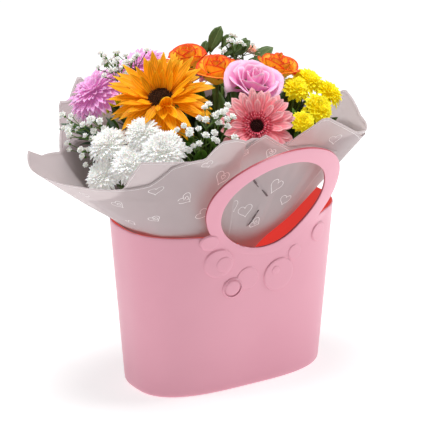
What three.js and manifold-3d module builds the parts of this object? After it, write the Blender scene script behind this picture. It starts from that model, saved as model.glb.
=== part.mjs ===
// A mixed bouquet in folded wrapping paper, standing in a moulded plastic bag with two ring handles.
// Millimetres, +Z up, the bag's long side along X and its front facing -Y.
// The origin is the centre of its foot.
import * as THREE from 'three';
import { mergeVertices } from 'three/addons/utils/BufferGeometryUtils.js';
import Module from 'manifold-3d';

const wasm = await Module();
wasm.setup();

// Driving dimensions
const bag = {
  height: 190, wall: 2.6, floor: 3.2, footRound: 6,
  foot: { length: 114.1, depth: 59.1, power: 2.8 },
  rim: { length: 127.6, depth: 82, power: 2.48 },
};
const handle = {
  bendHeight: 185, bendSpan: 30, lean: 30.5, power: 2.76, tilt: -17,
  window: { x: 1.6, along: 38.4, wide: 62.2, tall: 61.3 },
  outline: { x: 4.4, along: 42.5, wide: 82.7, tall: 76.1 },
  proud: 0.3, thick: 6.4,
};
// Raised rings on the wall: place across and up from the rim, and radius
const bubbles = [
  [-64, -6, 9.7], [-51, -33, 16.7], [-33, -65, 12], [-15, -57, 13.6],
  [25, -60, 19.3], [45, -38, 9], [80, -23, 10.9],
];
const bubbleProud = 1.1;
const bouquet = {
  x: -20, tieHeight: 100, footHeight: 5.5, footSpread: 1.7, headHeight: 330, headSpread: 6.2, twist: 28,
  tieRadius: 24, stemGap: 0.9,
};
const sheet = { layerStep: 5, thick: 0.9, span: 130, columns: 13, levels: [0, 1, 2, 3, 3.5, 4], topRows: 2 };

const { lerp, clamp, degToRad, smoothstep } = THREE.MathUtils;
const vec = (x, y, z) => new THREE.Vector3(x, y, z);
const up = vec(0, 0, 1);

// ---- small geometry helpers ----

function indexed(points, triangles) {
  const geometry = new THREE.BufferGeometry();
  const numbers = points.flatMap((p) => [p.x, p.y, p.z]);
  geometry.setAttribute('position', new THREE.Float32BufferAttribute(numbers, 3));
  geometry.setIndex(triangles.flat());
  return geometry;
}

// A closed skin through rings of equal length, from a start point to an end point.
function ringSolid(start, rings, end) {
  const count = rings[0].length;
  const points = [start, ...rings.flat(), end];
  const last = points.length - 1;
  const triangles = [];
  for (let i = 0; i < count; i += 1) {
    const j = (i + 1) % count;
    triangles.push([0, 1 + j, 1 + i]);
    for (let r = 0; r < rings.length - 1; r += 1) {
      const a = 1 + r * count;
      const b = a + count;
      triangles.push([a + i, a + j, b + j], [a + i, b + j, b + i]);
    }
    const a = 1 + (rings.length - 1) * count;
    triangles.push([last, a + i, a + j]);
  }
  return indexed(points, triangles);
}

// A closed hoop: rings of equal length, the last joined to the first.
function hoopSolid(rings) {
  const count = rings[0].length;
  const triangles = [];
  rings.forEach((ring, r) => {
    const a = r * count;
    const b = ((r + 1) % rings.length) * count;
    for (let i = 0; i < count; i += 1) {
      const j = (i + 1) % count;
      triangles.push([a + i, b + j, a + j], [a + i, b + i, b + j]);
    }
  });
  return indexed(rings.flat(), triangles);
}

function toSolid(geometry) {
  const bare = geometry.clone();
  bare.deleteAttribute('normal');
  bare.deleteAttribute('uv');
  const merged = mergeVertices(bare, 1e-3);
  const vertProperties = new Float32Array(merged.attributes.position.array);
  const triVerts = new Uint32Array(merged.index.array);
  const solid = new wasm.Manifold(new wasm.Mesh({ numProp: 3, vertProperties, triVerts }));
  if (solid.volume() > 0) return solid;
  for (let i = 0; i < triVerts.length; i += 3) {
    [triVerts[i + 1], triVerts[i + 2]] = [triVerts[i + 2], triVerts[i + 1]];
  }
  return new wasm.Manifold(new wasm.Mesh({ numProp: 3, vertProperties, triVerts }));
}

function fromSolid(solid) {
  const mesh = solid.getMesh();
  const geometry = new THREE.BufferGeometry();
  geometry.setAttribute('position', new THREE.BufferAttribute(new Float32Array(mesh.vertProperties), 3));
  geometry.setIndex(new THREE.BufferAttribute(new Uint32Array(mesh.triVerts), 1));
  return geometry;
}

// Pieces grown together: any pinhole left sealed between them is filled.
function joined(geometries) {
  const whole = geometries.map(toSolid).reduce((all, one) => all.add(one));
  const bodies = whole.decompose().sort((a, b) => b.volume() - a.volume());
  return fromSolid(bodies[0]);
}

// ---- the bag ----

const signedPower = (value, power) => Math.sign(value) * Math.abs(value) ** power;

function planAt(z) {
  const t = z / bag.height;
  return {
    length: lerp(bag.foot.length, bag.rim.length, t),
    depth: lerp(bag.foot.depth, bag.rim.depth, t),
    power: lerp(bag.foot.power, bag.rim.power, clamp(t, 0, 1)),
  };
}

function planRing(z, inset, count) {
  const { length, depth, power } = planAt(z);
  return Array.from({ length: count }, (_, i) => {
    const angle = (i / count) * 2 * Math.PI;
    const x = (length - inset) * signedPower(Math.cos(angle), 2 / power);
    const y = (depth - inset) * signedPower(Math.sin(angle), 2 / power);
    return vec(x, y, z);
  });
}

function bagWall() {
  const sides = 44;
  const { height, wall, floor, footRound } = bag;
  const rings = [
    planRing(0, footRound, sides),
    planRing(footRound * 0.3, footRound * 0.3, sides),
    planRing(footRound, 0, sides),
    planRing(height / 2, 0, sides),
    planRing(height, 0, sides),
    planRing(height, wall, sides),
    planRing(height / 2, wall, sides),
    planRing(floor + footRound, wall, sides),
    planRing(floor, wall + footRound, sides),
  ];
  return ringSolid(vec(0, 0, 0), rings, vec(0, 0, floor));
}

// The front face of bag and handle as one bent surface: `along` is measured up the surface from the rim.
// The wall's slope changes smoothly to the handle's lean at the bend.
const facePath = (() => {
  const wallSlope = (bag.rim.depth - bag.foot.depth) / bag.height;
  const leanSlope = Math.tan(degToRad(handle.lean));
  const step = 1;
  const start = 100;
  const path = [{ z: start, depth: planAt(start).depth, along: 0 }];
  for (let z = start; z < 320; z += step) {
    const bend = 1 / (1 + Math.exp((-4 * (z + step / 2 - handle.bendHeight)) / handle.bendSpan));
    const slope = lerp(wallSlope, leanSlope, bend);
    const before = path[path.length - 1];
    const along = before.along + Math.hypot(1, slope) * step;
    path.push({ z: z + step, depth: before.depth + slope * step, along });
  }
  const rimAlong = path[bag.height - start].along;
  path.forEach((point) => { point.along -= rimAlong; });
  return path;
})();

function facePoint(x, along, inward) {
  const after = clamp(facePath.findIndex((point) => point.along >= along), 1, facePath.length - 1);
  const [a, b] = [facePath[after - 1], facePath[after]];
  const t = (along - a.along) / (b.along - a.along);
  const z = lerp(a.z, b.z, t);
  const depth = lerp(a.depth, b.depth, t);
  const slope = (b.depth - a.depth) / (b.z - a.z);
  const power = lerp(bag.rim.power, handle.power, smoothstep(z, 170, 220));
  const plan = (1 - Math.min(Math.abs(x) / planAt(z).length, 1) ** power) ** (1 / power);
  const length = Math.hypot(1, slope);
  return vec(x, -depth * plan + inward / length, z + (inward * slope) / length);
}

function ovalPoint(oval, angle, grow = 0) {
  const tilt = degToRad(handle.tilt);
  const x = (oval.wide + grow) * Math.cos(angle);
  const y = (oval.tall + grow) * Math.sin(angle);
  return [
    oval.x + x * Math.cos(tilt) - y * Math.sin(tilt),
    oval.along + x * Math.sin(tilt) + y * Math.cos(tilt),
  ];
}

function handleRing() {
  const count = 32;
  const { window, outline, proud, thick } = handle;
  const rings = Array.from({ length: count }, (_, i) => {
    const angle = (i / count) * 2 * Math.PI;
    const inner = ovalPoint(window, angle);
    const outer = ovalPoint(outline, angle);
    return [
      facePoint(...inner, -proud), facePoint(...outer, -proud),
      facePoint(...outer, thick - proud), facePoint(...inner, thick - proud),
    ];
  });
  return hoopSolid(rings);
}

// The window's lower part is cut through the wall, a little larger, so that the ring lines the cut.
function windowCutter() {
  const count = 28;
  const outline = Array.from({ length: count }, (_, i) => {
    const [x, along] = ovalPoint(handle.window, (i / count) * 2 * Math.PI, 3);
    return facePoint(x, along, 0);
  });
  const near = outline.map((p) => vec(p.x, p.y - 12, p.z));
  const far = outline.map((p) => vec(p.x, p.y + 14, p.z));
  const middle = (points) => points.reduce((sum, p) => sum.add(p), vec(0, 0, 0)).divideScalar(count);
  return ringSolid(middle(near), [near, far], middle(far));
}

function bubble([x, along, radius]) {
  const count = 10;
  const ring = (inward) => Array.from({ length: count }, (_, i) => {
    const angle = (i / count) * 2 * Math.PI;
    return facePoint(x + radius * Math.cos(angle), along + radius * Math.sin(angle), inward);
  });
  const sunk = facePoint(x, along, 1.5);
  const raised = facePoint(x, along, -bubbleProud);
  return ringSolid(sunk, [ring(1.5), ring(-bubbleProud)], raised);
}

function bagShell() {
  const turn = (geometry) => geometry.clone().rotateZ(Math.PI);
  const bothFaces = (geometry) => [geometry, turn(geometry)];
  let solid = toSolid(bagWall());
  bothFaces(windowCutter()).forEach((cutter) => { solid = solid.subtract(toSolid(cutter)); });
  bothFaces(handleRing()).forEach((ring) => { solid = solid.add(toSolid(ring)); });
  bubbles.flatMap((place) => bothFaces(bubble(place))).forEach((disc) => { solid = solid.add(toSolid(disc)); });
  return fromSolid(solid);
}

// ---- the wrapping paper ----

// Outline of the gathered paper by azimuth round the bouquet: radius and height inside the bag, at the rim,
// over the rim and at the open edge.
const wrapProfile = [
  { azimuth: -180, inside: [58, 148], rim: [97, 188], over: [140, 220], edge: [182, 252] },
  { azimuth: -150, inside: [56, 149], rim: [92, 188], over: [130, 222], edge: [164, 258] },
  { azimuth: -120, inside: [50, 150], rim: [76, 190], over: [92, 232], edge: [124, 284] },
  { azimuth: -90, inside: [46, 150], rim: [68, 190], over: [86, 238], edge: [110, 292] },
  { azimuth: -60, inside: [46, 150], rim: [74, 190], over: [96, 236], edge: [126, 292] },
  { azimuth: -30, inside: [50, 148], rim: [90, 186], over: [124, 226], edge: [168, 278] },
  { azimuth: 0, inside: [52, 148], rim: [98, 186], over: [134, 226], edge: [172, 280] },
  { azimuth: 30, inside: [50, 148], rim: [88, 187], over: [120, 232], edge: [150, 290] },
  { azimuth: 60, inside: [46, 150], rim: [72, 190], over: [96, 240], edge: [124, 298] },
  { azimuth: 90, inside: [46, 150], rim: [68, 190], over: [88, 242], edge: [116, 304] },
  { azimuth: 120, inside: [50, 150], rim: [76, 190], over: [92, 232], edge: [140, 306] },
  { azimuth: 150, inside: [58, 148], rim: [94, 189], over: [130, 222], edge: [176, 262] },
];
const skirt = { radius: 35, height: 48 };
const gather = { radius: 31, height: 100 };

function wrapLevels(azimuth) {
  const count = wrapProfile.length;
  const turn = (((azimuth + 180) % 360) + 360) % 360 / (360 / count);
  const k = Math.floor(turn);
  const t = turn - k;
  const row = (i) => wrapProfile[(k + i + count) % count];
  const blend = (key, axis) => {
    const [a, b, c, d] = [-1, 0, 1, 2].map((i) => row(i)[key][axis]);
    const [linear, square, cube] = [c - a, 2 * a - 5 * b + 4 * c - d, 3 * b - a - 3 * c + d];
    return 0.5 * (2 * b + linear * t + square * t * t + cube * t * t * t);
  };
  const levels = ['inside', 'rim', 'over', 'edge'].map((key) => [blend(key, 0), blend(key, 1)]);
  return [[skirt.radius, skirt.height], [gather.radius, gather.height], ...levels];
}

// A point of the paper: `rise` is 0 at the skirt, 1 at the gather, 3 at the rim and 5 at the open edge.
function wrapPoint(azimuth, rise, outward) {
  const levels = wrapLevels(azimuth);
  const curve = new THREE.SplineCurve(levels.map(([r, z]) => new THREE.Vector2(r, z)));
  const past = Math.max(rise - 5, 0);
  const spot = curve.getPoint(Math.min(rise, 5) / 5);
  const ahead = curve.getPoint(1).sub(curve.getPoint(0.97)).normalize();
  const reach = spot.addScaledVector(ahead, past * 50);
  const ripple = 2.2 * smoothstep(rise, 3, 5) * Math.sin(degToRad(azimuth * 9));
  const angle = degToRad(azimuth);
  const radius = reach.x + ripple + outward;
  return vec(bouquet.x + radius * Math.cos(angle), radius * Math.sin(angle), reach.y);
}

// One sheet spans from `start` degrees, lying under the sheet before it and over the next one.
// `tops` lists how high its open edge reaches, evenly spaced across the sheet.
function wrapSheet({ start, tops }) {
  const { layerStep, thick, span, columns, levels, topRows } = sheet;
  const rows = levels.length + topRows - 1;
  const face = (extra) => Array.from({ length: columns + 1 }, (_, c) => {
    const across = c / columns;
    const place = across * (tops.length - 1);
    const k = Math.min(Math.floor(place), tops.length - 2);
    const top = lerp(tops[k], tops[k + 1], place - k);
    const outward = layerStep * across + extra;
    const last = levels[levels.length - 1];
    const above = Array.from({ length: topRows }, (_, r) => lerp(last, top, (r + 1) / topRows));
    return [...levels, ...above].map((rise) => wrapPoint(start + span * across, rise, outward));
  });
  const inner = face(0);
  const outer = face(thick);
  const rings = inner.map((column, c) => [...column, ...outer[c].slice().reverse()]);
  const points = rings.flat();
  const around = rings[0].length;
  const triangles = [];
  for (let c = 0; c < columns; c += 1) {
    for (let i = 0; i < around; i += 1) {
      const j = (i + 1) % around;
      const [a, b] = [c * around, (c + 1) * around];
      // Both faces are split along the same diagonal, so that neighbouring sheets nest.
      const pair = i < rows
        ? [[a + i, a + j, b + j], [a + i, b + j, b + i]]
        : [[a + i, a + j, b + i], [a + j, b + j, b + i]];
      triangles.push(...pair);
    }
  }
  [0, columns].forEach((c) => {
    const a = c * around;
    for (let i = 0; i < rows; i += 1) {
      const [p, q, m, n] = [a + i, a + i + 1, a + around - 1 - i, a + around - 2 - i];
      const caps = [[p, m, n], [p, n, q]];
      triangles.push(...(c === 0 ? caps : caps.map(([x, y, z]) => [x, z, y])));
    }
  });
  return joined([indexed(points, triangles)]);
}

const wrapSheets = [
  { start: -232, tops: [4.5, 4.8, 5.25, 5.2, 5.1, 5.0, 4.85, 4.7, 4.6, 4.5, 4.4] },
  { start: -172, tops: [4.9, 4.9, 5.0, 5.4, 5.1, 5.2, 5.25, 5.05, 4.9, 4.7, 4.5] },
  { start: -112, tops: [4.7, 5.2, 5.3, 5.0, 5.15, 5.35, 5.15, 5.1, 5.0, 4.8, 4.6] },
  { start: -52, tops: [4.8, 5.1, 5.05, 5.25, 5.3, 5.1, 4.9, 5.1, 5.3, 5.0, 4.7] },
  { start: 8, tops: [4.7, 5.0, 5.2, 4.9, 4.8, 5.0, 5.2, 5.0, 4.8, 4.7, 4.5] },
  { start: 68, tops: [4.7, 5.0, 5.1, 4.9, 5.2, 5.1, 5.0, 4.6, 4.4, 4.4, 4.4] },
];

function band(radius, height, section, round) {
  const profile = Array.from({ length: round }, (_, i) => {
    const angle = (i / round) * 2 * Math.PI;
    return new THREE.Vector2(radius + section[0] * Math.cos(angle), section[1] * Math.sin(angle));
  });
  profile.push(profile[0].clone());
  const geometry = new THREE.LatheGeometry(profile, 18).rotateX(Math.PI / 2);
  return joined([geometry.translate(bouquet.x, 0, height)]);
}

// ---- stems: all follow one spreading, turning flow through the tie, so none crosses another ----

function flow(z) {
  const { tieHeight, footHeight, footSpread, headHeight, headSpread, twist } = bouquet;
  const t = (z - tieHeight) / (headHeight - tieHeight);
  const foot = (tieHeight - z) / (tieHeight - footHeight);
  const spread = t >= 0 ? 1 + (headSpread - 1) * t ** 1.25 : 1 + (footSpread - 1) * foot ** 1.3;
  return { spread, turn: degToRad(twist) * t };
}

// Where a stem with this neck would pass the tie, from the bouquet's axis.
function seatOf(neck) {
  const { spread, turn } = flow(neck.z);
  return vec(neck.x - bouquet.x, neck.y, 0).divideScalar(spread).applyAxisAngle(up, -turn);
}

// The stems settle side by side inside the tie.
function settle(stems) {
  const seats = stems.map(({ neck }) => seatOf(neck));
  for (let round = 0; round < 200; round += 1) {
    stems.forEach((one, i) => stems.slice(0, i).forEach((other, j) => {
      const apart = seats[i].clone().sub(seats[j]);
      const missing = one.radius + other.radius + bouquet.stemGap - apart.length();
      if (missing <= 0) return;
      apart.setLength(missing / 2);
      seats[i].add(apart);
      seats[j].sub(apart);
    }));
    stems.forEach(({ radius }, i) => seats[i].clampLength(0, bouquet.tieRadius - radius));
  }
  return Object.fromEntries(stems.map(({ name }, i) => [name, seats[i]]));
}

function stemPath(name, neck, head) {
  const settled = seats[name];
  const natural = seatOf(neck);
  const { footHeight, tieHeight } = bouquet;
  const heights = [footHeight, (footHeight + tieHeight) / 2, tieHeight];
  [0.25, 0.5, 0.75, 1].forEach((t) => heights.push(lerp(tieHeight, neck.z, t)));
  const points = heights.map((z) => {
    const { spread, turn } = flow(z);
    const p = settled.clone().lerp(natural, smoothstep(z, tieHeight, neck.z));
    p.multiplyScalar(spread).applyAxisAngle(up, turn);
    return vec(p.x + bouquet.x, p.y, z);
  });
  return new THREE.CatmullRomCurve3([...points, head]);
}

function rod(curve, radius, steps = 7, sides = 5) {
  const outline = Array.from({ length: sides }, (_, i) => {
    const angle = (i / sides) * 2 * Math.PI;
    return new THREE.Vector2(radius * Math.cos(angle), radius * Math.sin(angle));
  });
  const options = { steps, extrudePath: curve, bevelEnabled: false };
  return new THREE.ExtrudeGeometry(new THREE.Shape(outline), options);
}

// A direction from its azimuth and its elevation above the level, in degrees.
function facing([azimuth, elevation]) {
  const [a, e] = [degToRad(azimuth), degToRad(elevation)];
  return vec(Math.cos(a) * Math.cos(e), Math.sin(a) * Math.cos(e), Math.sin(e));
}

function aim(geometry, at, normal) {
  const turn = new THREE.Quaternion().setFromUnitVectors(up, normal);
  return geometry.applyQuaternion(turn).translate(at.x, at.y, at.z);
}

// Rings of a turned form; each profile row is [radius, height, wave], the wave marking petals round it.
function petalForm(profile, petals, bottom, top) {
  const count = petals * 2;
  const rings = profile.map(([radius, height, wave = 0]) => Array.from({ length: count }, (_, i) => {
    const angle = (i / count) * 2 * Math.PI;
    const r = radius * (i % 2 ? 1 - wave : 1);
    return vec(r * Math.cos(angle), r * Math.sin(angle), height);
  }));
  return ringSolid(vec(0, 0, bottom), rings, vec(0, 0, top));
}

const forms = {
  daisy: ({ radius, disc, cup, petals }) => petalForm([
    [disc * 0.8, -6], [radius * 0.98, cup - 1.2, 0.34], [radius, cup, 0.34],
    [radius * 0.6, cup * 0.5 + 1.6, 0.1], [disc, 2.4], [disc * 0.9, 4.2],
  ], petals, -11, 4.8),
  rose: ({ radius, tall }) => petalForm([
    [radius * 0.3, -tall * 0.5], [radius * 0.8, -tall * 0.22, 0.05], [radius * 0.95, tall * 0.12, 0.06],
    [radius, tall * 0.42, 0.13], [radius * 0.8, tall * 0.36, 0.06], [radius * 0.45, tall * 0.5, 0.1],
  ], 7, -tall * 0.55, tall * 0.42),
  mum: ({ radius }) => petalForm([
    [radius * 0.5, -radius * 0.45], [radius * 0.98, -radius * 0.12, 0.1], [radius * 0.86, radius * 0.35, 0.12],
  ], 6, -radius * 0.6, radius * 0.62),
};
const backOf = {
  daisy: () => 10,
  rose: ({ tall }) => tall * 0.46,
  mum: ({ radius }) => radius * 0.5,
};

// The neck is where the stem leaves the bundle's flow and bends to its head.
function throatOf({ form, at, face, neck = 26, ...size }) {
  const back = backOf[form](size) + neck;
  const throat = vec(...at).addScaledVector(facing(face), -back);
  return throat.lerp(vec(bouquet.x, 0, throat.z), 0.12);
}

const belowFork = ({ fork }) => vec(...fork).lerp(vec(bouquet.x, 0, bouquet.tieHeight), 0.1);
const neckOf = (entry) => (entry.fork ? belowFork(entry) : throatOf(entry));

// One flower as it grew: a head on its own stem.
function flower(name, entry) {
  const { form, at, face, stem, ...size } = entry;
  const centre = vec(...at);
  const normal = facing(face);
  const joint = centre.clone().addScaledVector(normal, -backOf[form](size));
  return joined([rod(stemPath(name, neckOf(entry), joint), stem), aim(forms[form](size), centre, normal)]);
}

// A spray: several heads on short branches from one stem.
function spray(name, entry) {
  const { form, fork, heads, stem, branch, ...size } = entry;
  const start = vec(...fork);
  const pieces = [rod(stemPath(name, neckOf(entry), start), stem)];
  heads.forEach(({ at, face, radius = size.radius }) => {
    const centre = vec(...at);
    const normal = facing(face);
    const back = backOf[form]({ ...size, radius });
    const end = centre.clone().addScaledVector(normal, -back);
    const bend = start.clone().lerp(end, 0.55).addScaledVector(up, -4);
    pieces.push(rod(new THREE.CatmullRomCurve3([start, bend, end]), branch, 3, 4));
    pieces.push(aim(forms[form]({ ...size, radius }), centre, normal));
  });
  return joined(pieces);
}

// Baby's breath: fine branches, each ending in a tiny round floret.
function babysBreath(name, entry) {
  const start = vec(...entry.fork);
  const pieces = [rod(stemPath(name, neckOf(entry), start), entry.stem)];
  entry.florets.forEach((at) => {
    const end = vec(...at);
    const bend = start.clone().lerp(end, 0.5).addScaledVector(up, -3);
    pieces.push(rod(new THREE.CatmullRomCurve3([start, bend, end]), 0.9, 2, 3));
    pieces.push(new THREE.OctahedronGeometry(3.8, 0).translate(end.x, end.y, end.z));
  });
  return joined(pieces);
}

// A leaf from its foot to its tip, with a raised spine and thin edges.
function leaf(from, to, width, thick = 1) {
  const along = to.clone().sub(from);
  const side = along.clone().cross(up).normalize();
  const crown = side.clone().cross(along).normalize();
  const droop = along.length() * 0.12;
  const stations = [0.08, 0.3, 0.6, 0.85];
  const rings = stations.map((t) => {
    const centre = from.clone().addScaledVector(along, t).addScaledVector(crown, 4 * droop * t * (1 - t));
    const half = (width / 2) * Math.sin(Math.PI * t ** 0.85);
    return [
      centre.clone().addScaledVector(side, half), centre.clone().addScaledVector(crown, thick),
      centre.clone().addScaledVector(side, -half), centre.clone().addScaledVector(crown, -thick),
    ];
  });
  return ringSolid(from, rings, to);
}

function foliage(name, entry) {
  const start = vec(...entry.fork);
  const pieces = [rod(stemPath(name, neckOf(entry), start), entry.stem)];
  pieces.push(new THREE.OctahedronGeometry(entry.stem * 3, 0).translate(start.x, start.y, start.z));
  entry.leaves.forEach(([tip, width]) => {
    const end = vec(...tip);
    const foot = start.clone().lerp(end, -0.03);
    pieces.push(leaf(foot, end, width));
  });
  return joined(pieces);
}

// ---- what stands in the bag ----

const gerbera = { form: 'daisy', disc: 12, cup: 3, petals: 12, stem: 2.6 };
const rose = { form: 'rose', stem: 2.6 };
const mums = { form: 'mum', stem: 2.2, branch: 1.3 };

const flowers = {
  sunflower: {
    form: 'daisy', at: [-84, -12, 329], face: [-138, 64], radius: 56, disc: 21, cup: 7, petals: 17, stem: 4,
  },
  pink_gerbera: { ...gerbera, at: [-4, -75, 302], face: [-119, 28], radius: 41, disc: 14 },
  salmon_gerbera: { ...gerbera, at: [84, 46, 336], face: [10, 62], radius: 30 },
  lilac_gerbera_left: { ...gerbera, at: [-122, 72, 315], face: [165, 38], radius: 28 },
  lilac_gerbera_back: { ...gerbera, at: [-58, 78, 338], face: [110, 66], radius: 28 },
  mauve_rose: { ...rose, at: [25, -25, 333], face: [-95, 62], radius: 30, tall: 36 },
  orange_rose_1: { ...rose, at: [2, 15, 342], face: [-120, 74], radius: 18, tall: 36 },
  orange_rose_2: { ...rose, at: [-12, 53, 347], face: [-150, 76], radius: 19, tall: 36 },
  orange_rose_3: { ...rose, at: [72, 2, 338], face: [-60, 76], radius: 18, tall: 34 },
  pink_gerbera_rear: { ...gerbera, at: [38, 80, 320], face: [70, 52], radius: 36 },
  mauve_rose_rear: { ...rose, at: [-26, 88, 308], face: [100, 44], radius: 24, tall: 36 },
};

const sprays = {
  white_spray_1: {
    ...mums, fork: [-92, -16, 228], radius: 17,
    heads: [
      { at: [-148, -4, 252], face: [-170, 40] }, { at: [-134, -38, 272], face: [-140, 45] },
      { at: [-140, 0, 284], face: [-165, 55] },
    ],
  },
  white_spray_2: {
    ...mums, fork: [-74, -34, 240], radius: 17,
    heads: [{ at: [-110, -62, 288], face: [-125, 42] }, { at: [-118, -34, 302], face: [-140, 55], radius: 14 }],
  },
  yellow_spray_1: {
    ...mums, fork: [64, -24, 262], radius: 14,
    heads: [
      { at: [78, -26, 318], face: [-95, 50], radius: 11 }, { at: [98, -20, 322], face: [-60, 60] },
      { at: [114, -34, 310], face: [-40, 48] },
    ],
  },
  yellow_spray_2: {
    ...mums, fork: [56, -50, 258], radius: 14,
    heads: [{ at: [90, -50, 300], face: [-80, 38] }, { at: [60, -66, 294], face: [-100, 40], radius: 11 }],
  },
  white_spray_rear: {
    ...mums, fork: [50, 40, 258], radius: 16,
    heads: [{ at: [104, 56, 304], face: [30, 45] }, { at: [72, 78, 294], face: [60, 40] }],
  },
  yellow_spray_rear: {
    ...mums, fork: [-44, 66, 250], radius: 14,
    heads: [{ at: [-84, 88, 298], face: [120, 40] }, { at: [-60, 90, 288], face: [105, 35] }],
  },
};

const breath = { stem: 1.3 };
const breaths = {
  babys_breath_1: {
    ...breath, fork: [-84, 24, 250],
    florets: [
      [-150, 42, 268], [-152, 28, 288], [-142, 62, 284],
      [-158, 50, 300], [-138, 40, 262], [-146, 24, 306],
    ],
  },
  babys_breath_2: {
    ...breath, fork: [-52, -52, 262],
    florets: [
      [-78, -80, 296], [-62, -84, 306], [-66, -74, 318],
      [-50, -72, 322], [-46, -84, 310], [-86, -74, 310],
    ],
  },
  babys_breath_3: {
    ...breath, fork: [-78, 40, 292],
    florets: [
      [-92, 48, 354], [-98, 60, 352], [-100, 74, 350],
      [-94, 84, 346], [-108, 50, 348], [-84, 42, 360],
    ],
  },
  babys_breath_4: {
    ...breath, fork: [46, 24, 300],
    florets: [
      [42, 50, 356], [54, 46, 354], [36, 42, 362],
      [60, 56, 346], [48, 60, 350],
    ],
  },
};

const sprig = { stem: 1.5 };
const leafy = {
  foliage_1: {
    ...sprig, fork: [26, 42, 312],
    leaves: [
      [[6, 38, 378], 18], [[24, 50, 366], 16],
      [[22, 14, 362], 14], [[44, 12, 364], 15],
    ],
  },
  foliage_2: {
    ...sprig, fork: [-84, 54, 252],
    leaves: [
      [[-158, 72, 288], 20], [[-150, 92, 276], 18],
      [[-128, 98, 262], 18],
    ],
  },
  foliage_3: {
    ...sprig, fork: [-34, -56, 244],
    leaves: [
      [[-96, -78, 272], 20], [[-72, -88, 276], 18],
      [[-40, -92, 278], 18],
    ],
  },
  foliage_4: {
    ...sprig, fork: [84, -30, 248],
    leaves: [
      [[128, -56, 282], 20], [[138, -12, 288], 20],
      [[96, -78, 276], 16],
    ],
  },
  foliage_5: {
    ...sprig, fork: [84, 30, 250],
    leaves: [
      [[136, 26, 298], 20], [[119, 54, 281], 20],
      [[92, 74, 280], 18],
    ],
  },
  foliage_6: {
    ...sprig, fork: [10, 72, 250],
    leaves: [
      [[4, 100, 290], 18], [[-14, 88, 280], 16],
      [[44, 98, 284], 18],
    ],
  },
};

const inTie = { ...flowers, ...sprays, ...breaths, ...leafy };
const tied = ([name, entry]) => ({ name, neck: neckOf(entry), radius: entry.stem });
const seats = settle(Object.entries(inTie).map(tied));

// ---- the model ----

const colours = {
  bag: ['#f2b4c3', 0.42], paper: ['#d1bbba', 0.6], twine: ['#b89a6a', 0.9], ribbon: ['#e8c9cf', 0.5],
  sunflower: ['#f9a104', 0.6], pink_gerbera: ['#ee7f8c', 0.6], salmon_gerbera: ['#f3a58f', 0.6],
  lilac_gerbera: ['#e49ad4', 0.6], mauve_rose: ['#eb82af', 0.6], orange_rose: ['#f59a2b', 0.6],
  white_spray: ['#f4f3ee', 0.7], yellow_spray: ['#fbe60d', 0.65], babys_breath: ['#f6f6f2', 0.7],
  foliage: ['#4a6a2c', 0.55],
};

function colourOf(name) {
  const others = { bag_shell: 'bag', wrap_sheet: 'paper', stem_tie: 'twine', wrap_ribbon: 'ribbon' };
  const key = Object.keys(colours).find((word) => name.startsWith(word));
  return colours[key ?? others[name.replace(/_\d$/, '')]];
}

const part = new THREE.Group();
part.name = 'flower_bag_arrangement';

function place(name, geometry) {
  const [color, roughness] = colourOf(name);
  const mesh = new THREE.Mesh(geometry, new THREE.MeshStandardMaterial({ color, roughness, metalness: 0 }));
  mesh.name = name;
  part.add(mesh);
}

place('bag_shell', bagShell());
wrapSheets.forEach((entry, i) => place(`wrap_sheet_${i + 1}`, wrapSheet(entry)));
place('stem_tie', band(28.6, bouquet.tieHeight, [1.1, 4], 4));
place('wrap_ribbon', band(41, bouquet.tieHeight, [0.8, 6], 4));
Object.entries(flowers).forEach(([name, entry]) => place(name, flower(name, entry)));
Object.entries(sprays).forEach(([name, entry]) => place(name, spray(name, entry)));
Object.entries(breaths).forEach(([name, entry]) => place(name, babysBreath(name, entry)));
Object.entries(leafy).forEach(([name, entry]) => place(name, foliage(name, entry)));

export default part;
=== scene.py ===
# A mixed bouquet in folded paper, standing in a moulded bag. Lengths here are millimetres until a mesh is made.
import math
import random
import bpy
import numpy as np
from mathutils import Matrix, Vector


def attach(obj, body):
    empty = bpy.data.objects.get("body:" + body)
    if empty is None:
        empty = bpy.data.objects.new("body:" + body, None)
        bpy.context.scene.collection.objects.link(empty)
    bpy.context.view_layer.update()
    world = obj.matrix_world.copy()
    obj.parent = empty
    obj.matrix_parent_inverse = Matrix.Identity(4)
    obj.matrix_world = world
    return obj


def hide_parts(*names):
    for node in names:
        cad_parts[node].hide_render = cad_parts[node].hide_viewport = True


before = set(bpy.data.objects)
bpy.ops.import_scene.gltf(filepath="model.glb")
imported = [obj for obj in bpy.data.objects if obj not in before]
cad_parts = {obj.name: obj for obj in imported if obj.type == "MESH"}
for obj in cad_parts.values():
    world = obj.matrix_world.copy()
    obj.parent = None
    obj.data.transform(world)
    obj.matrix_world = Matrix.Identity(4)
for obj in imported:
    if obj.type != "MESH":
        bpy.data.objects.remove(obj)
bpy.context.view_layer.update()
scene = bpy.context.scene
mm = 0.001
print("frame loaded:", len(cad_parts), "nodes")


camera = {
    "target": (0, 0, 0.171), "azimuth": -31.835, "elevation": 19.284, "distance": 2.55,
    "lens": 195.36, "sensor": 36, "shiftX": -0.0170, "shiftY": 0.0197,
}
lights = [  # name, place, size, watts
    ("key", (2.6, -1.0, 1.4), 1.4, 37),
    ("top", (-0.2, -0.1, 2.8), 1.3, 57),
    ("left", (-1.9, 0.5, 1.6), 1.0, 11),
    ("fill", (-1.4, -2.6, 1.6), 1.8, 2),
]
studio = {"floorSize": 14, "floorPaint": "#cbcaca", "worldStrength": 0.2, "floorGlow": 0.62}


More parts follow.
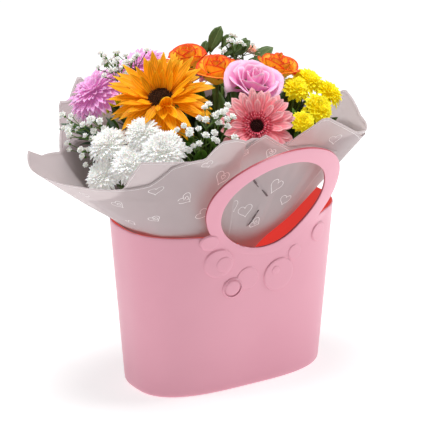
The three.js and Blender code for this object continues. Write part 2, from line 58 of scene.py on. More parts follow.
def makeCamera():
    a, e = math.radians(camera["azimuth"]), math.radians(camera["elevation"])
    back = Vector((math.sin(a) * math.cos(e), -math.cos(a) * math.cos(e), math.sin(e)))
    right = Vector((math.cos(a), math.sin(a), 0))
    rise = back.cross(right)
    data = bpy.data.cameras.new("camera")
    data.lens, data.sensor_width = camera["lens"], camera["sensor"]
    data.shift_x, data.shift_y = camera["shiftX"], camera["shiftY"]
    data.clip_end = 50
    shot = bpy.data.objects.new("camera", data)
    place = Vector(camera["target"]) + back * camera["distance"]
    turn = Matrix((right, rise, back)).transposed()
    shot.matrix_world = Matrix.Translation(place) @ turn.to_4x4()
    scene.collection.objects.link(shot)
    scene.camera = shot


def makeLights():
    for name, place, size, watts in lights:
        data = bpy.data.lights.new(name, "AREA")
        data.shape, data.size, data.energy = "DISK", size, watts
        lamp = bpy.data.objects.new(name, data)
        lamp.location = place
        aim = Vector((0, 0, 0.2)) - Vector(place)
        lamp.rotation_euler = aim.to_track_quat("-Z", "Y").to_euler()
        scene.collection.objects.link(lamp)
    world = bpy.data.worlds.new("studio")
    world.use_nodes = True
    world.node_tree.nodes["Background"].inputs["Color"].default_value = (1, 1, 1, 1)
    world.node_tree.nodes["Background"].inputs["Strength"].default_value = studio["worldStrength"]
    scene.world = world
    scene.view_settings.view_transform = "Standard"


def paint(code):
    parts = [int(code[i:i + 2], 16) / 255 for i in (1, 3, 5)]
    linear = [c / 12.92 if c <= 0.04045 else ((c + 0.055) / 1.055) ** 2.4 for c in parts]
    return (*linear, 1)


def newGroup(name, inputs, outputs):
    group = bpy.data.node_groups.new(name, "ShaderNodeTree")
    for label, kind, value in inputs:
        socket = group.interface.new_socket(label, in_out="INPUT", socket_type="NodeSocket" + kind)
        socket.default_value = value
    for label, kind in outputs:
        group.interface.new_socket(label, in_out="OUTPUT", socket_type="NodeSocket" + kind)
    start = group.nodes.new("NodeGroupInput")
    end = group.nodes.new("NodeGroupOutput")
    return group, start.outputs, end.inputs


class Wires:  # short ways to add and join nodes in one tree
    def __init__(self, tree):
        self.tree = tree

    def add(self, kind, values=None, **settings):
        node = self.tree.nodes.new("ShaderNode" + kind)
        for key, value in settings.items():
            setattr(node, key, value)
        for key, value in (values or {}).items():
            if isinstance(value, bpy.types.NodeSocket):
                self.tree.links.new(value, node.inputs[key])
            else:
                node.inputs[key].default_value = value
        return node

    def math(self, operation, a, b=0.0, clamp=False):
        return self.add("Math", {0: a, 1: b}, operation=operation, use_clamp=clamp).outputs[0]

    def ramp(self, value, low, high, toLow=0.0, toHigh=1.0):
        values = {"Value": value, "From Min": low, "From Max": high, "To Min": toLow, "To Max": toHigh}
        node = self.add("MapRange", values, interpolation_type="SMOOTHSTEP")
        return node.outputs["Result"]

    def mix(self, factor, a, b, blend="MIX"):
        node = self.add("Mix", data_type="RGBA", blend_type=blend)
        for socket, value in ((node.inputs[0], factor), (node.inputs[6], a), (node.inputs[7], b)):
            if isinstance(value, bpy.types.NodeSocket):
                self.tree.links.new(value, socket)
            else:
                socket.default_value = value
        return node.outputs[2]

    def attribute(self, name):
        return self.add("Attribute", attribute_name=name).outputs["Fac"]

    def noise(self, scale, detail=2.0, rough=0.5, vector=None):
        values = {"Scale": scale, "Detail": detail, "Roughness": rough}
        if vector is not None:
            values["Vector"] = vector
        return self.add("TexNoise", values).outputs["Fac"]

    def link(self, source, target):
        self.tree.links.new(source, target)


def petalTintGroup():  # colour down a petal, with veins along it and a shade of its own
    group, given, result = newGroup("petalTint", [
        ("Root", "Color", (1, 1, 1, 1)), ("Middle", "Color", (1, 1, 1, 1)), ("Tip", "Color", (1, 1, 1, 1)),
        ("Root End", "Float", 0.3), ("Tip Start", "Float", 0.7), ("Edge", "Float", 0.0),
        ("Veins", "Float", 9.0), ("Vein Depth", "Float", 0.1), ("Variety", "Float", 0.15),
    ], [("Color", "Color"), ("Height", "Float")])
    w = Wires(group)
    along, across, shade = (w.attribute(name) for name in ("along", "across", "shade"))
    side = w.math("ABSOLUTE", across)
    wander = w.noise(900, 2)
    edgePull = w.math("MULTIPLY", w.math("MULTIPLY", side, side), given["Edge"])
    reach = w.math("ADD", w.math("ADD", along, edgePull), w.math("MULTIPLY", w.math("SUBTRACT", wander, 0.5), 0.25))
    rootMask = w.ramp(reach, 0.0, given["Root End"])
    tipMask = w.ramp(reach, given["Tip Start"], 1.0)
    colour = w.mix(tipMask, w.mix(rootMask, given["Root"], given["Middle"]), given["Tip"])
    wave = w.math("MULTIPLY", across, w.math("MULTIPLY", given["Veins"], 3.1416))
    stripes = w.math("COSINE", w.math("ADD", wave, w.math("MULTIPLY", wander, 1.5)))
    dark = w.math("MULTIPLY", w.math("SUBTRACT", 1.0, stripes), w.math("MULTIPLY", given["Vein Depth"], 0.5))
    tone = w.math("ADD", w.math("MULTIPLY", w.math("SUBTRACT", shade, 0.5), given["Variety"]), 1.0)
    tone = w.math("SUBTRACT", tone, dark)
    grey = w.add("CombineColor", {0: tone, 1: tone, 2: tone}).outputs[0]
    w.link(w.mix(1.0, colour, grey, "MULTIPLY"), result["Color"])
    w.link(w.math("ADD", w.math("MULTIPLY", stripes, 0.5), w.math("MULTIPLY", wander, 0.4)), result["Height"])
    return group


def leafTintGroup():  # a pale midrib, faint side veins and blotches
    group, given, result = newGroup("leafTint", [
        ("Face", "Color", (1, 1, 1, 1)), ("Rib", "Color", (1, 1, 1, 1)), ("Blotch", "Color", (1, 1, 1, 1)),
        ("Rib Width", "Float", 0.09), ("Variety", "Float", 0.4),
    ], [("Color", "Color"), ("Height", "Float")])
    w = Wires(group)
    along, across, shade = (w.attribute(name) for name in ("along", "across", "shade"))
    side = w.math("ABSOLUTE", across)
    rib = w.math("SUBTRACT", 1.0, w.ramp(side, 0.0, given["Rib Width"]))
    slant = w.math("SUBTRACT", w.math("MULTIPLY", along, 60.0), w.math("MULTIPLY", side, 16.0))
    veins = w.math("MULTIPLY", w.math("POWER", w.math("ABSOLUTE", w.math("COSINE", slant)), 8.0), 0.3)
    blotch = w.ramp(w.noise(160, 3), 0.42, 0.65)
    face = w.mix(w.math("MULTIPLY", blotch, 0.6), given["Face"], given["Blotch"])
    colour = w.mix(w.math("MAXIMUM", w.math("MULTIPLY", rib, 0.7), w.math("MULTIPLY", veins, 0.5)), face, given["Rib"])
    tone = w.math("ADD", w.math("MULTIPLY", w.math("SUBTRACT", shade, 0.5), given["Variety"]), 1.0)
    grey = w.add("CombineColor", {0: tone, 1: tone, 2: tone}).outputs[0]
    w.link(w.mix(1.0, colour, grey, "MULTIPLY"), result["Color"])
    w.link(w.math("SUBTRACT", w.math("MULTIPLY", veins, -1.0), rib), result["Height"])
    return group


def skinGroup():  # a made surface: fine grain, slow clouding and rubbed patches
    group, given, result = newGroup("madeSkin", [
        ("Colour", "Color", (1, 1, 1, 1)), ("Cloud", "Color", (1, 1, 1, 1)), ("Cloud Size", "Float", 12.0),
        ("Cloud Amount", "Float", 0.4), ("Grain Size", "Float", 2500.0), ("Base Roughness", "Float", 0.4),
        ("Roughness Spread", "Float", 0.1),
    ], [("Color", "Color"), ("Roughness", "Float"), ("Height", "Float")])
    w = Wires(group)
    place = w.add("TexCoord").outputs["Object"]
    cloud = w.add("TexNoise", {"Vector": place, "Scale": given["Cloud Size"], "Detail": 3.0}).outputs["Fac"]
    grain = w.add("TexNoise", {"Vector": place, "Scale": given["Grain Size"], "Detail": 3.0}).outputs["Fac"]
    mask = w.math("MULTIPLY", w.ramp(cloud, 0.35, 0.7), given["Cloud Amount"])
    w.link(w.mix(mask, given["Colour"], given["Cloud"]), result["Color"])
    spread = w.math("MULTIPLY", w.math("SUBTRACT", cloud, 0.5), given["Roughness Spread"])
    w.link(w.math("ADD", given["Base Roughness"], spread), result["Roughness"])
    w.link(grain, result["Height"])
    return group


petalTint = petalTintGroup()
leafTint = leafTintGroup()
madeSkin = skinGroup()


def material(name, group, values, bumpDistance, bumpStrength=0.5, **surface):
    made = bpy.data.materials.new(name)
    made.use_nodes = True
    tree = made.node_tree
    shader = tree.nodes["Principled BSDF"]
    pattern = tree.nodes.new("ShaderNodeGroup")
    pattern.node_tree = group
    for key, value in values.items():
        pattern.inputs[key].default_value = value
    tree.links.new(pattern.outputs["Color"], shader.inputs["Base Color"])
    if "Root" in values:  # light coming through a petal
        tree.links.new(pattern.outputs["Color"], shader.inputs["Emission Color"])
        shader.inputs["Emission Strength"].default_value = 0.13
    if "Roughness" in pattern.outputs:
        tree.links.new(pattern.outputs["Roughness"], shader.inputs["Roughness"])
    bump = tree.nodes.new("ShaderNodeBump")
    bump.inputs["Distance"].default_value = bumpDistance * mm
    bump.inputs["Strength"].default_value = bumpStrength
    tree.links.new(pattern.outputs["Height"], bump.inputs["Height"])
    tree.links.new(bump.outputs["Normal"], shader.inputs["Normal"])
    for key, value in surface.items():
        shader.inputs[key.replace("_", " ")].default_value = value
    return made


def petalMaterial(name, root, middle, tip, rootEnd=0.3, tipStart=0.7, edge=0.0, veins=7, depth=0.1, variety=0.2,
                  rough=0.55, glow=0.12):
    values = {"Root": paint(root), "Middle": paint(middle), "Tip": paint(tip), "Root End": rootEnd,
              "Tip Start": tipStart, "Edge": edge, "Veins": veins, "Vein Depth": depth, "Variety": variety}
    return material(name, petalTint, values, 0.25, 0.5, Roughness=rough, Subsurface_Weight=glow,
                    Subsurface_Scale=0.004, Specular_IOR_Level=0.25)


def leafMaterial(name, face, rib, blotch, rough=0.42):
    values = {"Face": paint(face), "Rib": paint(rib), "Blotch": paint(blotch)}
    return material(name, leafTint, values, 0.3, 0.5, Roughness=rough, Specular_IOR_Level=0.4)


def skinMaterial(name, colour, cloud, cloudSize, cloudAmount, grainSize, rough, spread, bump, **surface):
    values = {"Colour": paint(colour), "Cloud": paint(cloud), "Cloud Size": cloudSize, "Cloud Amount": cloudAmount,
              "Grain Size": grainSize, "Base Roughness": rough, "Roughness Spread": spread}
    return material(name, madeSkin, values, bump, 0.4, **surface)


finish = {
    "bagOutside": skinMaterial("bagOutside", "#eaa5b7", "#e49db0", 9, 0.5, 1800, 0.38, 0.1, 0.04, Coat_Weight=0.1,
                               Coat_Roughness=0.3),
    # The coral inside also glows: its emission is painted light lifting the shaded interior.
    "bagInside": skinMaterial("bagInside", "#ee544a", "#e34a41", 9, 0.5, 1800, 0.42, 0.1, 0.04,
                              Emission_Color=paint("#e8584e"), Emission_Strength=0.34),
    # The darker rose of this material is painted shade along the ring band's narrow sides.
    "bagEdgePaintedShade": skinMaterial("bagEdgePaintedShade", "#b8505c", "#a84652", 9, 0.5, 1800, 0.42, 0.1, 0.04),
    # The paper also glows faintly: its emission is painted light lifting the shaded inner side.
    "paperFace": skinMaterial("paperFace", "#b2a3a4", "#a8999b", 14, 0.5, 3000, 0.5, 0.12, 0.05,
                              Subsurface_Weight=0.4, Subsurface_Scale=0.003, Subsurface_Radius=(1, 0.95, 0.95),
                              Emission_Color=paint("#cdbcbc"), Emission_Strength=0.07),
    "paperPrint": skinMaterial("paperPrint", "#fbf7f6", "#f2ecec", 60, 0.5, 3000, 0.4, 0.1, 0.02),
    # This dark grey strip material is painted shadow under the fold of a tuck.
    "paperFoldShadow": skinMaterial("paperFoldShadow", "#6a5c5e", "#5c4f51", 60, 0.5, 3000, 0.6, 0.1, 0.02),
    "twine": skinMaterial("twine", "#b08d5b", "#8a6a3d", 400, 0.7, 3500, 0.85, 0.1, 0.3),
    "ribbon": skinMaterial("ribbon", "#ecc6cf", "#dfb2bd", 80, 0.5, 4000, 0.35, 0.1, 0.05, Sheen_Weight=0.4),
    "sunPetal": petalMaterial("sunPetal", "#e27a02", "#ffaa06", "#ffbc1e", 0.4, 0.75, 0.0, 4, 0.26, 0.3),
    "sunDisc": petalMaterial("sunDisc", "#2a160c", "#3d2212", "#5a3316", 0.4, 0.8, 0, 2, 0.2, 0.9, 0.8, 0),
    "pinkPetal": petalMaterial("pinkPetal", "#ea6076", "#fc8f9a", "#ffbcc0", 0.35, 0.65, 0.2, 3, 0.2, 0.22),
    "pinkRing": petalMaterial("pinkRing", "#b3243a", "#d6455a", "#f3909a", 0.4, 0.6, 0, 1, 0.1, 0.5),
    "gerberaDisc": petalMaterial("gerberaDisc", "#1b0c0c", "#3a1314", "#d9a36a", 0.3, 0.93, 0, 1, 0.1, 0.9, 0.7, 0),
    "salmonPetal": petalMaterial("salmonPetal", "#f5a48e", "#fbc4b0", "#fddccd", 0.3, 0.7, 0, 4, 0.14, 0.2),
    "lilacPetal": petalMaterial("lilacPetal", "#dc78c4", "#f0a2dc", "#f9c4ec", 0.35, 0.7, 0.1, 4, 0.2, 0.25),
    "mauvePetal": petalMaterial("mauvePetal", "#dc6fae", "#ef9acb", "#f9c6e0", 0.5, 0.78, 0.12, 5, 0.07, 0.14),
    "orangePetal": petalMaterial("orangePetal", "#ffab1c", "#ffc23c", "#e8401c", 0.4, 0.86, 0.08, 5, 0.12, 0.3),
    "whitePetal": petalMaterial("whitePetal", "#ccd39c", "#f6f6f2", "#fcfcfa", 0.3, 0.6, 0, 2, 0.1, 0.14),
    "yellowPetal": petalMaterial("yellowPetal", "#ffd000", "#ffe90a", "#fff430", 0.4, 0.7, 0, 2, 0.12, 0.22),
    "breathPetal": petalMaterial("breathPetal", "#ccd2ac", "#efefea", "#f6f6f3", 0.3, 0.7, 0, 2, 0.04, 0.15),
    "deepLeaf": leafMaterial("deepLeaf", "#34501f", "#6f8a48", "#24401a"),
    "brightLeaf": leafMaterial("brightLeaf", "#5a8a2c", "#96b85c", "#46741f"),
    "ovalLeaf": leafMaterial("ovalLeaf", "#4f6631", "#84975c", "#3b5125"),
    "greyLeaf": leafMaterial("greyLeaf", "#66806a", "#98ab94", "#4d6852", 0.55),
    "stem": leafMaterial("stem", "#5d7d35", "#7f9c52", "#46642a", 0.5),
}
print("materials made:", len(finish))


class Shape:  # gathers patches of one piece; each patch keeps its material and its petal attributes
    def __init__(self, seed=0):
        self.points, self.faces, self.slots = [], [], []
        self.marks = {"along": [], "across": [], "shade": []}
        self.finishes, self.count, self.random = [], 0, random.Random(seed)

    def put(self, points, faces, name, along=0.5, across=0.0, shade=None):
        points = np.asarray(points, float).reshape(-1, 3)
        if name not in self.finishes:
            self.finishes.append(name)
        shade = self.random.random() if shade is None else shade
        for key, value in (("along", along), ("across", across), ("shade", shade)):
            self.marks[key].append(np.broadcast_to(np.asarray(value, float).ravel(), (len(points),)))
        self.faces += [tuple(int(i) + self.count for i in face) for face in faces]
        self.slots += [self.finishes.index(name)] * len(faces)
        self.points.append(points)
        self.count += len(points)

    def turned(self, matrix, start=0):  # moves the patches from number start on
        rotation, shift = np.array(matrix)[:3, :3], np.array(matrix)[:3, 3]
        for i in range(start, len(self.points)):
            self.points[i] = self.points[i] @ rotation.T + shift

    def build(self, name, node, thick=0.0):
        mesh = bpy.data.meshes.new(name)
        mesh.from_pydata((np.concatenate(self.points) * mm).tolist(), [], self.faces)
        mesh.polygons.foreach_set("material_index", self.slots)
        mesh.polygons.foreach_set("use_smooth", [True] * len(self.faces))
        for key, values in self.marks.items():
            layer = mesh.attributes.new(key, "FLOAT", "POINT")
            layer.data.foreach_set("value", np.concatenate(values))
        for used in self.finishes:
            mesh.materials.append(finish[used])
        mesh.update()
        piece = bpy.data.objects.new(name, mesh)
        scene.collection.objects.link(piece)
        if thick:
            solid = piece.modifiers.new("thickness", "SOLIDIFY")
            solid.thickness, solid.offset = thick * mm, 0
        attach(piece, "root")
        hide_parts(node)
        return piece


def gridFaces(rows, columns, loop=False):  # quads over a rows x columns grid of points
    faces = []
    for r in range(rows - 1):
        for c in range(columns if loop else columns - 1):
            d = (c + 1) % columns
            faces.append((r * columns + c, r * columns + d, (r + 1) * columns + d, (r + 1) * columns + c))
    return faces


def unit(v):
    return v / np.maximum(np.linalg.norm(v, axis=-1, keepdims=True), 1e-9)


def smoothStep(x, low, high):
    t = np.clip((np.asarray(x, float) - low) / (high - low), 0, 1)
    return t * t * (3 - 2 * t)


def throughPoints(points, count):  # a Catmull-Rom curve sampled evenly by number
    p = np.asarray(points, float)
    p = np.vstack([2 * p[0] - p[1], p, 2 * p[-1] - p[-2]])
    s = np.linspace(0, len(p) - 3 - 1e-6, count)
    k = s.astype(int)
    t = (s - k)[:, None]
    a, b, c, d = p[k], p[k + 1], p[k + 2], p[k + 3]
    return 0.5 * (2 * b + (c - a) * t + (2 * a - 5 * b + 4 * c - d) * t ** 2 + (3 * b - a - 3 * c + d) * t ** 3)


def rod(shape, points, radius, name="stem", sides=8, count=None):  # a round rod; radius may vary along it
    line = throughPoints(points, count or len(points) * 4)
    ways = unit(np.gradient(line, axis=0))
    radii = np.broadcast_to(np.interp(np.linspace(0, 1, len(line)), np.linspace(0, 1, np.size(radius)),
                                      np.ravel(radius)), (len(line),))
    side = unit(np.cross(ways[0], [0.3, 0.9, 0.1]))
    rings = []
    for centre, way, r in zip(line, ways, radii):
        side = unit(side - way * (side @ way))
        other = np.cross(way, side)
        turns = np.arange(sides) * 2 * math.pi / sides
        rings.append(centre + r * (np.cos(turns)[:, None] * side + np.sin(turns)[:, None] * other))
    faces = gridFaces(len(line), sides, loop=True)
    faces += [tuple(range(sides))[::-1], tuple(range((len(line) - 1) * sides, len(line) * sides))]
    along = np.repeat(np.linspace(0, 1, len(line)), sides)
    shape.put(np.concatenate(rings), faces, name, along, 0.6)


def blade(length, width, rise=0.0, bend=0.0, cup=0.0, root=0.35, peak=0.6, tip=(2.0, 0.5), ridge=0.0, ridges=2,
          rows=7, columns=4, wave=0.0, twist=0.0):
    # a petal or leaf along +X from its root: rise and bend in degrees, cup lifts its sides
    t = np.linspace(0, 1, rows + 1)
    s = np.linspace(-1, 1, columns + 1)
    angle = np.radians(rise + bend * t ** 1.4)
    step = length / rows
    x = np.concatenate([[0], np.cumsum((np.cos(angle[1:]) + np.cos(angle[:-1])) / 2)]) * step
    z = np.concatenate([[0], np.cumsum((np.sin(angle[1:]) + np.sin(angle[:-1])) / 2)]) * step
    grow = root + (1 - root) * smoothStep(t, 0, peak)
    fall = (1 - (np.clip((t - peak) / (1 - peak), 0, 1)) ** tip[0]) ** tip[1]
    half = width / 2 * grow * np.maximum(fall, 0.04)
    lift = half[:, None] * cup * s ** 2 + ridge * np.cos(s * math.pi * ridges) * np.sin(math.pi * t)[:, None] ** 0.7
    if wave:
        lift = lift + wave * np.sin(t[:, None] * 7 + s[None, :] * 2.5) * t[:, None]
    roll = twist * t[:, None]
    y = half[:, None] * s * np.cos(roll)
    lift = lift + half[:, None] * s * np.sin(roll)
    points = np.stack([x[:, None] - np.sin(angle)[:, None] * lift, y, z[:, None] + np.cos(angle)[:, None] * lift], -1)
    along = np.repeat(t, columns + 1)
    across = np.tile(s, rows + 1)
    return points.reshape(-1, 3), gridFaces(rows + 1, columns + 1), along, across


def spun(points, degrees, out=0.0, up=0.0):  # moves a blade out from the axis and turns it round Z
    p = points + [out, 0, up]
    a = math.radians(degrees)
    c, s = math.cos(a), math.sin(a)
    return np.stack([p[:, 0] * c - p[:, 1] * s, p[:, 0] * s + p[:, 1] * c, p[:, 2]], -1)


def direction(azimuth, elevation):
    a, e = math.radians(azimuth), math.radians(elevation)
    return Vector((math.cos(a) * math.cos(e), math.sin(a) * math.cos(e), math.sin(e)))


def headPlace(at, face):
    return Matrix.Translation(at) @ direction(*face).to_track_quat("Z", "Y").to_matrix().to_4x4()


# The bag: an oval tub, its front and rear bending outwards into flat ring handles.

bag = {
    "height": 190, "wall": 2.6, "footRound": 6, "foot": (114.1, 59.1, 2.8), "rim": (127.6, 82, 2.48),
    "bend": (185, 30), "lean": 30.5, "ringPower": 2.76, "tilt": -17, "blend": 18,
    "window": (1.6, 38.4, 62.2, 61.3), "ring": (4.4, 42.5, 82.7, 76.1),  # across, up from the rim, half sizes
    "bandThick": 2.6, "fillet": 0.8, "columns": 240, "rows": 46,
}
bubbles = [  # across, up from the rim, radius, height, groove radius, inner circle
    (-64, -6, 9.7, 1.2, 0, None), (-51, -33, 16.7, 1.4, 0, (-45, -35, 9.3)), (-33, -65, 12, 1.5, 9.2, None),
    (-15, -57, 13.6, 0.8, 0, None), (25, -60, 19.3, 1.4, 0, (20, -54, 5.1)), (45, -38, 9, 0.8, 0, None),
    (80, -23, 10.9, 1.2, 0, None),
]


def tubSize(z):
    t = np.asarray(z, float) / bag["height"]
    half = [low + (high - low) * t for low, high in zip(bag["foot"], bag["rim"])]
    half[2] = bag["foot"][2] + (bag["rim"][2] - bag["foot"][2]) * np.clip(t, 0, 1)
    return half


def bentPath():  # height, half depth and way up the surface from the rim, millimetre by millimetre
    heights = np.arange(100, 320.0)
    wallSlope = (bag["rim"][1] - bag["foot"][1]) / bag["height"]
    middle, span = bag["bend"]
    turn = 1 / (1 + np.exp(-4 * (heights + 0.5 - middle) / span))
    slope = wallSlope + (math.tan(math.radians(bag["lean"])) - wallSlope) * turn
    depth = float(tubSize(100)[1]) + np.concatenate([[0], np.cumsum(slope[:-1])])
    along = np.concatenate([[0], np.cumsum(np.hypot(1, slope[:-1]))])
    return heights, depth, along - along[bag["height"] - 100]


pathHeight, pathDepth, pathAlong = bentPath()


def facePlace(x, z, bulge=1.0):  # the front surface at this width and height
    length, straight, power = tubSize(z)
    power = power + bulge * smoothStep(z, 170, 220) * (bag["ringPower"] - power)
    depth = np.where(z > 100, np.interp(z, pathHeight, pathDepth), straight)
    depth = straight + bulge * (depth - straight)
    plan = (1 - np.minimum(np.abs(x) / length, 1) ** power) ** (1 / power)
    return -depth * plan


def onFace(x, along, inward=0.0):
    x, along = np.broadcast_arrays(np.asarray(x, float), np.asarray(along, float))
    z = np.interp(along, pathAlong, pathHeight)
    slope = np.interp(z + 0.5, pathHeight[1:], np.diff(pathDepth))
    long = np.hypot(1, slope)
    return np.stack([x, facePlace(x, z) + inward / long, z + inward * slope / long], -1)


def ovalPlace(oval, angle, grow=0.0):
    tilt = math.radians(bag["tilt"])
    x, y = (oval[2] + grow) * np.cos(angle), (oval[3] + grow) * np.sin(angle)
    return oval[0] + x * math.cos(tilt) - y * math.sin(tilt), oval[1] + x * math.sin(tilt) + y * math.cos(tilt)


def ovalReach(oval, x, along):  # about how far outside an oval a place is
    tilt = math.radians(bag["tilt"])
    dx, dy = x - oval[0], along - oval[1]
    u = (dx * math.cos(tilt) + dy * math.sin(tilt)) / oval[2]
    v = (-dx * math.sin(tilt) + dy * math.cos(tilt)) / oval[3]
    return (np.hypot(u, v) - 1) * (oval[2] + oval[3]) / 2


def tubGrid(heights):
    turns = np.linspace(0, 2 * math.pi, bag["columns"], endpoint=False)
    c, s = np.cos(turns)[None, :], np.sin(turns)[None, :]
    z = np.asarray(heights, float)[:, None] + 0 * c
    length, depth, power = tubSize(z)
    x = length * np.sign(c) * np.abs(c) ** (2 / power)
    y = depth * np.sign(s) * np.abs(s) ** (2 / power)
    side = -np.sign(y + 1e-9)  # 1 on the front; the rear is the front turned half round
    along = np.interp(z, pathHeight, pathAlong)
    reach = ovalReach(bag["ring"], x * side, np.where(z < 100, z - bag["height"], along))
    bulge = 1 - smoothStep(reach, 0, bag["blend"])
    y = np.where(bulge > 0, np.where(side > 0, facePlace(x * side, z, bulge), -facePlace(x * side, z, bulge)), y)
    inWindow = ovalReach(bag["window"], x * side, np.where(z < 100, z - bag["height"], along))
    return np.stack([x, y, z], -1), inWindow


def gridNormals(points, loop=True):
    across = (np.roll(points, -1, 1) - np.roll(points, 1, 1)) if loop else np.gradient(points, axis=1)
    return unit(np.cross(across, np.gradient(points, axis=0)))


def makeBagWall(shape):
    low = bag["footRound"] * (1 - np.cos(np.linspace(0.12, math.pi / 2, 7)))
    heights = np.concatenate([low, np.linspace(bag["footRound"] + 4, bag["height"] - 1.3, bag["rows"])])
    outer, window = tubGrid(heights)
    normals = gridNormals(outer)
    inset = bag["footRound"] - np.sqrt(np.maximum(bag["footRound"] ** 2 - (bag["footRound"] - heights) ** 2, 0))
    inset = np.where(heights < bag["footRound"], inset, 0)[:, None]
    flat = unit(outer * [1, 1, 0])
    outer = outer - flat * inset[..., None]
    inner = outer - normals * bag["wall"]
    inner[..., 2] = np.maximum(inner[..., 2], 3.4)
    turns = np.linspace(0, math.pi, 9)[1:-1]
    middle, half = (outer[-1] + inner[-1]) / 2, (outer[-1] - inner[-1]) / 2
    rim = [middle + half * math.cos(a) + np.array([0, 0, bag["wall"] / 2]) * math.sin(a) for a in turns]
    rings = [*outer, *rim, *inner[::-1]]
    reach = np.array([*window, *[window[-1]] * len(rim), *window[::-1]])
    red = np.array([0] * (len(outer) + 2) + [1] * (len(rings) - len(outer) - 2))
    count = bag["columns"]
    faces = gridFaces(len(rings), count, loop=True)
    for colour, name in ((0, "bagOutside"), (1, "bagInside")):
        kept = [f for f in faces if red[f[0] // count] == colour
                and max(reach[i // count, i % count] for i in f) > 4.5]
        shape.put(np.concatenate(rings), kept, name)
    for ring, height, name in ((outer[0], 0, "bagOutside"), (inner[0], 3.2, "bagInside")):  # the floor, both sides
        parts = [ring * [k, k, 0] + [0, 0, height + (1.2 if height == 0 and k < 0.9 else 0)]
                 for k in (1, 0.93, 0.89, 0.6, 0.3, 0.01)]
        parts[0] = ring
        face = gridFaces(len(parts), count, loop=True)
        shape.put(np.concatenate(parts), face if height else [f[::-1] for f in face], name)


def makeBand(shape):  # the ring handle's band, rounded at its front edges
    count, thick, fillet = 200, bag["bandThick"], bag["fillet"]
    angles = np.linspace(0, 2 * math.pi, count, endpoint=False)
    inner = np.stack(ovalPlace(bag["window"], angles), -1)
    outer = np.stack(ovalPlace(bag["ring"], angles), -1)
    width = np.linalg.norm(outer - inner, axis=1)
    # Rows marked 2 take the darker rose material: painted shade on the band's narrow sides.
    section = [(0, thick, 1), (0, thick * 0.6, 2), (0, fillet, 2)]
    for a in np.linspace(0.3, math.pi / 2, 4):
        section.append((fillet * (1 - math.cos(a)), fillet * (1 - math.sin(a)), 0))
    crown = [(0.3, 0.0), (0.5, 0.0), (0.7, 0.0)]
    right = [(-p[0], p[1], p[2]) for p in section[::-1]]
    rows, marks = [], []
    sunk = smoothStep(-outer[:, 1], 2, 12)  # the outer edge sinks into the wall below the rim
    for across, inward, red in section:
        spot = inner + (outer - inner) * (across / width)[:, None]
        rows.append(onFace(spot[:, 0], spot[:, 1], inward - 0.12))
        marks.append(red)
    for part, inward in crown:
        spot = inner + (outer - inner) * part
        rows.append(onFace(spot[:, 0], spot[:, 1], inward - 0.12))
        marks.append(0)
    for across, inward, red in right:
        spot = outer + (outer - inner) * (across / width)[:, None]
        rows.append(onFace(spot[:, 0], spot[:, 1], inward - 0.12 + 0.5 * sunk))
        marks.append(red)
    for part in (0.7, 0.3):
        spot = inner + (outer - inner) * part
        rows.append(onFace(spot[:, 0], spot[:, 1], thick - 0.12))
        marks.append(1)
    rows.append(rows[0])
    faces = gridFaces(len(rows), count, loop=True)
    marks.append(marks[0])
    for colour, name in ((0, "bagOutside"), (1, "bagInside"), (2, "bagEdgePaintedShade")):
        kept = [f for f in faces if max(marks[min(f) // count], marks[max(f) // count]) == colour]
        for turn in (1, -1):
            points = np.concatenate(rows) * [turn, turn, 1]
            shape.put(points, kept, name)


def makeDisc(shape, x, along, radius, base, height, groove=0.0):  # a low round swelling with a crisp edge
    edge = 0.9
    profile = [(radius + 0.5, base - 0.5), (radius, base), (radius - 0.2, base + height * 0.55),
               (radius - edge, base + height * 0.95), (radius - edge - 1.2, base + height)]
    if groove:
        for out, deep in ((1.6, 0), (0.8, 0.8), (0.2, 0.9), (-0.6, 0.3), (-1.5, 0)):
            profile.append((groove + out, base + height * (1 - deep)))
    last = profile[-1][0]
    profile += [(last * k, base + height * (1.0 if k > 0.5 else 1.02)) for k in (0.7, 0.4, 0.05)]
    turns = np.linspace(0, 2 * math.pi, 56, endpoint=False)
    for turn in (1, -1):
        rows = [onFace(x + r * np.cos(turns), along + r * np.sin(turns), -h) * [turn, turn, 1] for r, h in profile]
        rows.append(np.repeat(onFace(x, along, -base - height)[None] * [turn, turn, 1], len(turns), 0))
        shape.put(np.concatenate(rows), gridFaces(len(rows), len(turns), loop=True), "bagOutside")


def makeBag():
    shape = Shape(1)
    makeBagWall(shape)
    makeBand(shape)
    for x, along, radius, height, groove, inner in bubbles:
        makeDisc(shape, x, along, radius, 0, height, groove)
        if inner:
            makeDisc(shape, *inner, height - 0.1, 0.7)
    return shape.build("bagWithRingHandles", "bag_shell")


bagPiece = makeBag()
print("bag built")


# The wrapping paper: six overlapping sheets gathered round the stems, opening over the rim.

wrap = {
    "centre": -20, "skirt": (35, 48), "gather": (31, 100), "layer": 5.0, "lieDown": 1.7, "span": 130, "columns": 101, "rows": 60,
    "thick": 0.22, "ripple": 2.2, "pastEdge": 50,
    "perRise": 46,  # millimetres up the paper for one step of rise
}
wrapProfile = [  # inside the bag, at the rim, over it and at the open edge: radius and height, every 30 degrees
    ((58, 148), (97, 188), (140, 220), (182, 252)), ((56, 149), (92, 188), (130, 222), (164, 258)),
    ((50, 150), (76, 190), (92, 232), (124, 284)), ((46, 150), (68, 190), (86, 238), (110, 292)),
    ((46, 150), (74, 190), (96, 236), (126, 292)), ((50, 148), (90, 186), (124, 226), (168, 278)),
    ((52, 148), (98, 186), (134, 226), (172, 280)), ((50, 148), (88, 187), (120, 232), (150, 290)),
    ((46, 150), (72, 190), (96, 240), (124, 298)), ((46, 150), (68, 190), (88, 242), (116, 304)),
    ((50, 150), (76, 190), (92, 232), (140, 306)), ((58, 148), (94, 189), (130, 222), (176, 262)),
]
